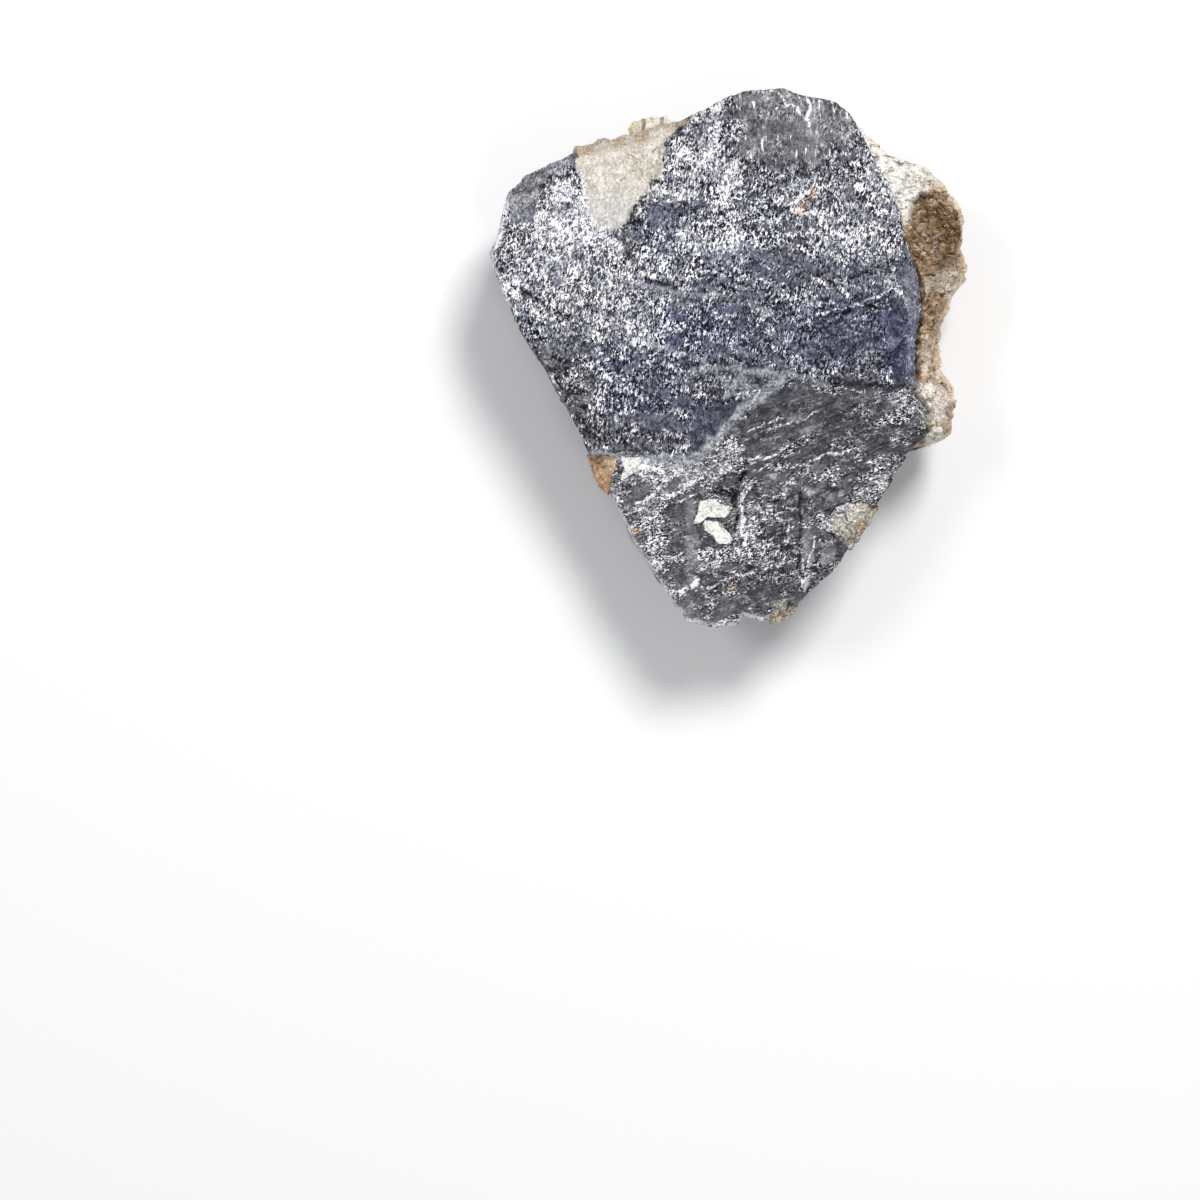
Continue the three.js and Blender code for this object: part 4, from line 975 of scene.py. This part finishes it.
def flakes(count, seed):
    """Points and faces of many thin six-sided plates. A plate is two hexagons; each is turned by a rotation
    built from three random angles and set on the mica at a random place in the pocket."""
    draw = np.random.default_rng(seed)
    reach_out = np.sqrt(draw.random(count)) * 0.92
    around = draw.random(count) * 2 * math.pi
    outline = np.array(MICA_OUTLINE)
    middle = outline.mean(axis=0)
    px, py = polar(middle, reach_out * reach(outline, middle, around)[0], around)
    centre = points_at(px, py, mica_surface(px, py) + 0.05)
    radius = draw.uniform(*FLAKE_RADIUS, count)[:, None]
    spin, tip, swing = draw.random(count) * 6.3, draw.normal(0, 0.7, count), draw.random(count) * 6.3
    corner = np.arange(6) * math.pi / 3
    x, y = rotated(np.cos(corner), np.sin(corner), spin)
    y, z = rotated(y, 0 * y, tip)
    plate = points_at(*rotated(x, y, swing), z) * radius[..., None]
    axis = np.cross(plate[:, 1] - plate[:, 0], plate[:, 2] - plate[:, 0])
    axis /= np.linalg.norm(axis, axis=1, keepdims=True)
    half = 0.5 * FLAKE_THICKNESS * axis[:, None]
    plate = centre[:, None] + plate
    points = np.concatenate([plate + half, plate - half], axis=1).reshape(-1, 3)
    ahead = (np.arange(6) + 1) % 6
    walls = np.stack([np.arange(6) + 6, ahead + 6, ahead, np.arange(6)], axis=1)
    lids = np.array([(0, 1, 2, 3), (0, 3, 4, 5), (9, 8, 7, 6), (11, 10, 9, 6)])
    first = 12 * np.arange(count)[:, None, None]
    return points, (first + np.vstack([walls, lids])[None]).reshape(-1, 4)


mica_points = lozenge(MICA_OUTLINE, mica_surface, lambda x, y: MICA_BOTTOM, *MICA_GRID, 0.1)
mica_squares, mica_triangles = shell_faces(*MICA_GRID)
flake_points, flake_squares = flakes(FLAKES, 5)
mica_all = np.vstack([mica_points, flake_points])
mica = body("mica", mica_all, np.vstack([mica_squares, flake_squares + len(mica_points)]), mica_triangles,
            slot="mica", node="mica_pocket")
# A random lightness for each flake, painted as its glint
flake_glint = np.repeat(np.random.default_rng(7).random(FLAKES), 12)
x, y, _ = mica_all.T
# The second layer is painted shade: darker towards the pocket's upper right, lighter tan to its left
paint(mica, flake=np.concatenate([np.zeros(len(mica_points)), 0.15 + 0.85 * flake_glint]),
      rusty=smooth(x + 0.4 * (y - MICA_MIDDLE), 18.8, 21.8))

# %% [markdown]
# ## Materials
# A material is a few layers of pattern, read from the stone's own coordinates in millimetres, so the same
# grain runs over every side. Here a plus or times sign between two outputs adds one Math node, so a recipe
# reads like a sum.

# %% Colours, and numbers made by nodes


def screen(red, green, blue):
    """A colour given as it looks on a screen, 0 to 255, as the linear colour that the renderer works in."""
    value = np.array([red, green, blue]) / 255
    linear = np.where(value <= 0.04045, value / 12.92, ((value + 0.055) / 1.055) ** 2.4)
    return (*linear.tolist(), 1.0)


class Number:
    """A node's output that can be added to, subtracted from and multiplied."""

    def __init__(self, recipe, socket):
        self.recipe = recipe
        self.socket = socket

    def __add__(self, other):
        return self.recipe.math("ADD", self, other)

    def __sub__(self, other):
        return self.recipe.math("SUBTRACT", self, other)

    def __mul__(self, other):
        return self.recipe.math("MULTIPLY", self, other)


print("mid grey", np.round(screen(128, 128, 128), 3))

# %% A recipe for node materials


class Recipe:
    """One material's nodes. Each method adds one and returns what the next step reads."""

    def __init__(self, name, ior, specular=0.5):
        self.material = bpy.data.materials.new(name)
        self.material.use_nodes = True
        self.nodes = self.material.node_tree.nodes
        self.shader = self.nodes["Principled BSDF"]
        self.shader.inputs["IOR"].default_value = ior
        self.shader.inputs["Specular IOR Level"].default_value = specular
        self.place = self.vector("SCALE", self.add("TexCoord").outputs["Object"], 1 / MM)

    def give(self, node, inputs):
        """Links each input, found by its name or number, to an output, or sets its value."""
        for key, value in inputs.items():
            if isinstance(value, Number):
                value = value.socket
            if isinstance(value, bpy.types.NodeSocket):
                self.material.node_tree.links.new(value, node.inputs[key])
            else:
                node.inputs[key].default_value = value

    def add(self, kind, inputs=None, **settings):
        node = self.nodes.new("ShaderNode" + kind)
        for key, value in settings.items():
            setattr(node, key, value)
        self.give(node, inputs or {})
        return node

    def number(self, kind, inputs, output=0, **settings):
        return Number(self, self.add(kind, inputs, **settings).outputs[output])

    def math(self, operation, first, second=0.0, clamp=False):
        return self.number("Math", {0: first, 1: second}, operation=operation, use_clamp=clamp)

    def vector(self, operation, first, second=(0, 0, 0)):
        """Vector maths. The second value is a vector, or a number where the operation is SCALE."""
        second_key = "Scale" if operation == "SCALE" else 1
        return self.add("VectorMath", {0: first, second_key: second}, operation=operation).outputs[0]

    def step(self, value, low, high):
        """0 below low and 1 above high, with a soft step between."""
        inputs = {"Value": value, "From Min": low, "From Max": high}
        return self.number("MapRange", inputs, interpolation_type="SMOOTHSTEP")

    def mix(self, share, first, second):
        """One colour turning into another. Each is an output, or red, green and blue as on a screen."""
        first, second = (screen(*c) if isinstance(c, tuple) else c for c in (first, second))
        return self.add("Mix", {0: share, 6: first, 7: second}, data_type="RGBA").outputs[2]

    def blend(self, share, first, second):
        """One number turning into another."""
        return self.number("Mix", {0: share, 2: first, 3: second}, data_type="FLOAT")

    def ramp(self, value, colours):
        """A number turned into a colour, through evenly spaced screen colours."""
        node = self.add("ValToRGB", {0: value})
        elements = node.color_ramp.elements
        places = np.linspace(0, 1, len(colours)).tolist()
        for place in places[1:-1]:
            elements.new(place)
        for element, place, colour in zip(elements, places, colours):
            element.position = place
            element.color = screen(*colour)
        return node.outputs[0]

    def layer(self, name):
        """A number that was painted on the mesh."""
        return self.number("Attribute", {}, "Fac", attribute_name=name)

    def sized(self, size, turn):
        """The stone's coordinates turned about Z and divided by a grain size in millimetres."""
        inputs = {"Vector": self.place, "Rotation": (0, 0, math.radians(turn)),
                  "Scale": np.broadcast_to(size, 3).tolist()}
        return self.add("Mapping", inputs, vector_type="TEXTURE").outputs[0]

    def noise(self, size, turn=0, detail=3.0, roughness=0.55, distortion=0.0):
        inputs = {"Vector": self.sized(size, turn), "Scale": 1.0, "Detail": detail, "Roughness": roughness,
                  "Distortion": distortion}
        return self.number("TexNoise", inputs, "Fac")

    def cells(self, size, wander, turn=0):
        """Cells with edges bent by noise: their random colours and the distance to each one's middle."""
        vector = self.sized(size, turn)
        bend = self.add("TexNoise", {"Vector": vector, "Scale": 0.7, "Detail": 2.0}).outputs["Color"]
        bend = self.vector("SUBTRACT", bend, (0.5, 0.5, 0.5))
        vector = self.vector("ADD", vector, self.vector("SCALE", bend, wander))
        node = self.add("TexVoronoi", {"Vector": vector, "Scale": 1.0})
        return node.outputs["Color"], Number(self, node.outputs["Distance"])

    def part(self, colour, number=0):
        """One of a random colour's three numbers."""
        return self.number("SeparateColor", {"Color": colour}, number)

    def finish(self, colour, roughness, cell, lean, height, depth, strength=1.0):
        """The finished material. Each cell's random colour tips the surface's normal by the lean, and the
        height, depth millimetres high, bumps it."""
        away = self.vector("SCALE", self.vector("SUBTRACT", cell, (0.5, 0.5, 0.5)), lean)
        normal = self.vector("ADD", self.add("NewGeometry").outputs["Normal"], away)
        inputs = {"Height": height, "Strength": strength, "Distance": depth * MM,
                  "Normal": self.vector("NORMALIZE", normal)}
        normal = self.add("Bump", inputs).outputs[0]
        self.give(self.shader, {"Base Color": colour, "Roughness": roughness, "Normal": normal})
        return self.material


# %% [markdown]
# ### Corundum
# The silver of the face comes from thousands of flats a fifth of a millimetre wide, each a mirror that catches
# the light or misses it. Here that glitter is painted into the base colour: worm-like noise and cells, added
# up to one number, the glint, mostly painted highlights and dark misses on top of the stone's own tone. The
# cells also tip the surface. A colour ramp turns the glint into dark stone, grey or white, and a second one
# into violet where the stone is blue.

# %% The corundum's glint


def glint(m, zone):
    """One number from 0, dark, to 1, a flat that mirrors the light, painted into the base colour as a glint:
    the painted lightness, plus worm-like noise as wide as two or three flats, plus each cell's own number,
    plus smears.
    Where the stone is quiet, or in patches of their own, the flats nearly vanish. Returns it with the cells'
    colours."""
    lower, frost = zone["lower"], zone["frost"]
    on_toe = m.step(lower, 0.3, 0.7)
    upright = m.noise((0.2, 0.4, 0.27), -14, detail=2.0, distortion=1.0)
    slanting = m.noise((0.28, 0.13, 0.2), STRIATION_TURN, detail=2.0, roughness=0.65, distortion=0.8)
    worms = m.blend(on_toe, upright, slanting)
    small, _ = m.cells((0.2, 0.34, 0.25), 1.0)
    blocky, _ = m.cells(0.4, 0.8)
    grain = m.mix(m.step(zone["coarse"], 0.3, 0.6), small, blocky)

    flats, _ = m.cells((2.2, 1.3, 1.5), 0.7, STRIATION_TURN)
    patch = m.blend(on_toe, m.noise((2.0, 1.0, 1.2), -24, detail=5.0, roughness=0.65),
                    m.noise((2.2, 1.1, 1.2), 12, detail=5.0, roughness=0.65))
    patch = patch + (m.part(flats) - 0.5) * m.blend(lower, 0.16, 0.32) + lower * 0.05
    patch = m.step(patch, 0.48, m.blend(lower, 0.6, 0.53)) * m.blend(frost, 0.94, 0.52)
    painted = zone["light"] + (m.part(flats, 1) - 0.5) * m.blend(lower, 0.1, 0.2)
    light = m.blend(m.blend(zone["quiet"], patch, 0.0), painted, m.blend(lower, 0.38, 0.32))
    quiet = m.math("MAXIMUM", patch, zone["quiet"])

    spread = frost * 0.4 + 0.82 - m.math("POWER", frost, 4.0) * 0.55
    still = m.math("MAXIMUM", zone["plate"], lower)
    spread = spread * m.blend(quiet, m.blend(lower, 1.0, 1.4), m.blend(still, 0.16, 0.04))
    contrast = m.step(worms, 0.4, 0.6) * 0.95 + worms * 1.2 - 1.075 + (m.part(grain) - 0.5) * 0.6
    clump = m.noise((1.4, 1.1, 1.1), 20, detail=5.0, roughness=0.6) - 0.5
    combed = m.noise((3.4, 0.6, 0.6), -14, detail=4.0) - 0.5
    level = light + contrast * spread + clump * m.blend(quiet, m.blend(lower, 1.6, 1.0), 0.3)
    return level + combed * m.blend(frost, 0.4, 0.1), grain


def contour(m, noise, middle, width):
    """Thin lines where a noise passes that middle value."""
    return m.step(m.math("ABSOLUTE", noise - middle), width, 0.3 * width)


def hatching(m, zone):
    """What the partings add to the painted glint: long strokes across the toe, and bright and dark bars both
    ways where it is laddered. All are contour lines of stretched noise, broken up by a slower one."""
    breaks = m.step(m.noise((0.9, 0.7, 0.7)), 0.46, 0.58)
    strokes = contour(m, m.noise((3.4, 0.5, 0.8), STRIATION_TURN, detail=1.0, distortion=0.4), 0.5, 0.05)
    uprights = m.noise((0.42, 3.0, 1.0), detail=1.0, distortion=0.3)
    rungs = m.noise((2.6, 0.5, 0.8), 9, detail=1.0, distortion=0.3)
    bars = m.math("MAXIMUM", contour(m, uprights, 0.5, 0.06), contour(m, rungs, 0.5, 0.06))
    gaps = m.math("MAXIMUM", contour(m, uprights, 0.4, 0.05), contour(m, rungs, 0.42, 0.05))
    bars = bars * breaks * 0.5 - gaps * 0.3
    return strokes * breaks * zone["lower"] * 0.38 + bars * zone["ladder"]


# %% The corundum material
GREY_RAMP = [(16, 16, 20), (56, 56, 61), (112, 112, 116), (192, 192, 195), (255, 255, 255)]
VIOLET_RAMP = [(10, 10, 34), (46, 48, 76), (98, 101, 129), (184, 186, 205), (254, 254, 255)]


def corundum_material():
    m = Recipe("corundum", ior=1.76, specular=0.15)
    zone = {key: m.layer(key) for key in fillings}
    broken_side = m.layer("broken_side")
    level, grain = glint(m, zone)
    streaks = m.noise((0.3, 1.5, 0.5), 3, distortion=0.3) - 0.5
    streaks = (streaks * 0.35 + m.step(streaks, 0.13, 0.17) * 0.45) * zone["plate"]
    torn = m.step(m.noise(0.3), 0.36, 0.52)
    # A painted highlight along each ridge, broken by the torn noise
    ridge = m.step(zone["ridge"], 0.3, 0.8) * (torn * 0.55)
    hatched = hatching(m, zone) * m.blend(zone["quiet"], 1.0, 0.2)
    level = m.math("ADD", level + ridge, streaks + hatched, clamp=True)
    # The glint becomes the base colour here: painted highlights and painted dark flats, grey or violet
    tone = m.mix(zone["blue"], m.ramp(level, GREY_RAMP), m.ramp(level, VIOLET_RAMP))

    cloud = m.step(m.noise(0.3, detail=5.0), 0.35, 0.62)
    tone = m.mix(zone["vein"] * m.blend(cloud, 0.15, 1.0), tone, (196, 198, 206))
    # Painted highlight along the rim: pale and broken up by noise
    rim_highlight = zone["rim"] * m.step(m.noise(0.5, detail=4.0), 0.36, 0.5)
    tone = m.mix(rim_highlight * 0.75, tone, (214, 215, 220))
    # Painted shade in the open cracks: near black
    tone = m.mix(zone["crack"] * m.blend(torn, 0.3, 0.9), tone, (10, 10, 14))
    rust = m.mix(m.step(level, 0.2, 0.7), (120, 78, 40), (222, 190, 146))
    rusted = m.step(zone["stain"] * m.blend(cloud, 0.5, 1.0), 0.3, 0.7)
    tone = m.mix(rusted * m.blend(broken_side, 0.85, 0.4), tone, rust)
    bedding = m.step(m.noise((3.0, 3.0, 0.16), detail=2.0), 0.45, 0.62)
    tone = m.mix(bedding * broken_side * 0.3, tone, (140, 142, 150))

    lean = (zone["frost"] * 0.6 + 0.3) * m.step(level, 0.25, 0.8) * m.blend(zone["quiet"], 1.0, 0.2)
    gloss = m.blend(broken_side, m.blend(level, 0.26, 0.36), 0.62)
    return m.finish(tone, gloss, grain, lean, level, 0.05, strength=0.6)


crystal.data.materials.append(corundum_material())
print("corundum", len(crystal.data.materials[0].node_tree.nodes), "nodes")

# %% [markdown]
# ### Feldspar
# Feldspar is milky: pale where it is fresh, tan where iron has crept in from the stone's edge, with a fine
# upright grain and small white glints painted into its colour. At its margin it thins out over the dark
# crystal, whose frosted flats show through, painted as dark and white specks like the crystal's painted
# glints. One recipe serves the patch, the block, the grains and the crusts, each with its own colours.

# %% The feldspar materials
FELDSPARS = {
    "feldspar_patch": dict(pale=(212, 202, 190), tan=(128, 108, 84), grey=(176, 167, 154)),
    "feldspar_knob": dict(pale=(222, 214, 200), tan=(182, 156, 112), grey=(188, 180, 160)),
    "stained_feldspar": dict(pale=(200, 170, 132), tan=(140, 100, 64), grey=(176, 142, 104)),
    "white_feldspar": dict(pale=(242, 240, 234), tan=(176, 160, 132), grey=(214, 213, 208)),
    "crust": dict(pale=(214, 208, 196), tan=(148, 128, 102), grey=(150, 148, 144), specks=0.24),
}


def feldspar_material(name, pale, tan, grey, specks=0.0):
    m = Recipe(name, ior=1.53)
    stain, margin, crease, greyed = (m.layer(key) for key in ("stain", "margin", "crease", "grey"))
    cloud = m.noise((1.5, 1.1, 1.1), detail=6.0, roughness=0.6)
    grainy = m.noise((0.2, 0.28, 0.22), detail=2.0, distortion=0.8)
    cell, _ = m.cells((0.3, 0.4, 0.3), 0.9)
    tone = m.mix(m.step(cloud, 0.36, 0.62), grey, pale)
    tone = m.mix(greyed * 0.75, tone, m.mix(cloud, (160, 160, 160), (214, 212, 208)))
    tone = m.mix(m.step(m.noise((0.22, 1.3, 0.5)), 0.5, 0.66) * 0.3, tone, (243, 240, 234))
    # Painted white glints on the grain
    tone = m.mix(m.step(grainy, 0.56, 0.68) * 0.6, tone, (250, 248, 244))
    tone = m.mix(m.step(grainy, 0.46, 0.32) * 0.7, tone, tuple(c * 3 // 4 for c in grey))
    rust = m.mix(m.step(grainy, 0.4, 0.62), tan, tuple(min(255, c + 50) for c in tan))
    tone = m.mix(m.step(cloud + stain * 0.4, 0.62, 0.86) * 0.85, tone, rust)
    # Olive brown along the patch's crease, and painted shade at the top of the knob's grooves
    broken = m.step(crease, 0.3, 0.7) * m.step(cloud, 0.34, 0.5)
    tone = m.mix(broken * 0.75, tone, (126, 108, 72))
    # The crystal's frost showing through the margin, painted with its white glints
    frosting = m.mix(m.step(grainy, 0.42, 0.56), (118, 120, 130), (246, 247, 250))
    tone = m.mix(m.step(margin + (cloud - 0.5) * 1.6, 0.35, 0.75), tone, frosting)
    if specks:
        _, distance = m.cells(0.4, 0.8)
        tone = m.mix(m.step(distance, specks, specks * 0.6), tone, (62, 58, 55))
    return m.finish(tone, m.blend(m.part(cell), 0.34, 0.6), cell, 0.4, grainy, 0.06)


feldspars = {slot: feldspar_material(slot, **look) for slot, look in FELDSPARS.items()}
for name, piece in inlay_bodies.items():
    piece.data.materials.append(feldspars[INLAY_LOOKS[name]["slot"]])
knob.data.materials.append(feldspars["feldspar_knob"])
print(sorted(feldspars))

# %% [markdown]
# ### Matrix and mica
# The rind is an aggregate: every grain has its own shade, and the painted zones shift it from chalky white to
# tan to brown, with dark spots painted as shade in its pits. Mica is brown with a dull, waxy glint: each flake
# is painted a random lightness as its glint, and the pocket is painted darker towards its upper right as
# shade.

# %% The matrix and mica materials


def matrix_material():
    m = Recipe("matrix", ior=1.53)
    white, brown, rim = (m.layer(key) for key in ("white", "brown", "outer_rim"))
    cloud = m.noise(1.0, detail=6.0, roughness=0.65)
    grainy = m.noise(0.24, detail=2.0, distortion=1.0)
    cell, _ = m.cells(0.4, 0.9)
    each = m.part(cell)
    tan = m.mix(m.step(cloud, 0.36, 0.64), (104, 76, 48), (178, 146, 110))
    tan = m.mix(m.step(grainy, 0.52, 0.64) * 0.7, tan, (226, 198, 164))
    tan = m.mix(m.step(grainy, 0.46, 0.34) * 0.7, tan, (76, 54, 34))
    crystals = m.step(m.noise((0.6, 0.9, 0.6), distortion=0.8), 0.56, 0.62)
    tan = m.mix(crystals * 0.7, tan, (234, 218, 192))
    lumps = m.noise((0.7, 0.9, 0.7), distortion=0.6)
    chalk = m.mix(m.step(lumps, 0.36, 0.54), (184, 178, 168), (242, 238, 231))
    chalk = m.mix(m.step(grainy, 0.55, 0.68) * 0.8, chalk, (253, 251, 248))
    chalk = m.mix(m.step(grainy, 0.45, 0.33) * 0.6, chalk, (112, 102, 90))
    dark = m.mix(m.step(m.blend(0.5, each, grainy), 0.3, 0.7), (54, 40, 27), (140, 112, 82))
    tone = m.mix(rim * 0.7, m.mix(white, tan, chalk), (238, 218, 192))
    # Dark spots at the middles of coarse cells: painted shade in the rind's pits
    _, distance = m.cells(0.9, 0.8)
    tone = m.mix(m.step(distance, 0.24, 0.12) * 0.65, m.mix(brown, tone, dark), (62, 54, 46))
    return m.finish(tone, m.blend(each, 0.42, 0.7), cell, 0.5, grainy, 0.08)


def mica_material():
    m = Recipe("mica", ior=1.58)
    flake = m.layer("flake")
    on_flake = m.step(flake, 0.02, 0.1)
    fine = m.noise(0.12, detail=4.0)
    cell, _ = m.cells(0.3, 0.6)
    each = m.part(cell)
    tone = m.mix(each * 0.6 + fine * 0.4, (34, 24, 16), (112, 86, 60))
    # Each flake's painted glint, from dark to light brown
    tone = m.mix(on_flake, tone, m.mix(flake, (34, 23, 14), (146, 112, 76)))
    pale = m.mix(m.step(each, 0.2, 0.9), (120, 96, 72), (214, 190, 158))
    # Painted shade: lighter tan to the left, darker brown towards the pocket's upper right
    tone = m.mix(m.blend(m.layer("rusty"), 0.4, 0.0), tone, pale)
    return m.finish(tone, m.blend(on_flake, 0.5, 0.32), cell, 0.5, fine, 0.03)


rind.data.materials.append(matrix_material())
mica.data.materials.append(mica_material())
print(len(bpy.data.materials), "materials")

# %% [markdown]
# ## Stage, light and camera
# The photograph looks straight down on the stone, on a plain white ground. The frame is 120 mm wide at the
# height of the face, and the stone lies right of and above its middle. Glitter needs small bright lights: a
# wide dome alone would light every little flat alike. So a pale world fills the shadows, and three soft boxes
# of a hand's size stand round the camera, high up, where tilted flats mirror them.

# %% Stage and camera
FRAME_WIDTH = 120.0
FRAME_MIDDLE = (-13.0, -24.2)
CAMERA_HEIGHT = 300.0
SENSOR = 36.0

bpy.ops.mesh.primitive_plane_add(size=3.0, location=(0, 0, 0))
floor = bpy.context.object
floor.name = "floor"
ground = bpy.data.materials.new("ground")
ground.use_nodes = True
ground_shader = ground.node_tree.nodes["Principled BSDF"]
ground_shader.inputs["Base Color"].default_value = (0.86, 0.86, 0.86, 1)
ground_shader.inputs["Roughness"].default_value = 0.9
floor.data.materials.append(ground)

camera = bpy.data.objects.new("camera", bpy.data.cameras.new("camera"))
bpy.context.collection.objects.link(camera)
camera.data.sensor_width = SENSOR
camera.data.lens = SENSOR * CAMERA_HEIGHT / FRAME_WIDTH
camera.data.clip_start = 0.01
camera.location = (FRAME_MIDDLE[0] * MM, FRAME_MIDDLE[1] * MM, (FACE_HEIGHT + CAMERA_HEIGHT) * MM)
bpy.context.scene.camera = camera
print("lens", camera.data.lens)

# %% Light


def soft_box(name, azimuth, elevation, distance, size, power):
    """A square light that looks at the stone from that direction. Azimuth 0 is +X, 90 is +Y."""
    light = bpy.data.lights.new(name, "AREA")
    light.shape = "SQUARE"
    light.size = size * MM
    light.energy = power
    lamp = bpy.data.objects.new(name, light)
    bpy.context.collection.objects.link(lamp)
    a, e = math.radians(azimuth), math.radians(elevation)
    lamp.location = [distance * MM * k for k in
                     (math.cos(a) * math.cos(e), math.sin(a) * math.cos(e), math.sin(e))]
    lamp.rotation_euler = (math.pi / 2 - e, 0, a + math.pi / 2)


soft_box("key", 62, 58, 520, 150, 2.15)
soft_box("left_box", 160, 55, 520, 150, 0.6)
soft_box("low_box", -70, 60, 560, 120, 0.45)

world = bpy.data.worlds.new("world")
world.use_nodes = True
sky = world.node_tree.nodes["Background"]
sky.inputs["Color"].default_value = (0.95, 0.97, 1.0, 1)
sky.inputs["Strength"].default_value = 0.3
bpy.context.scene.world = world
bpy.context.scene.view_settings.view_transform = "Standard"
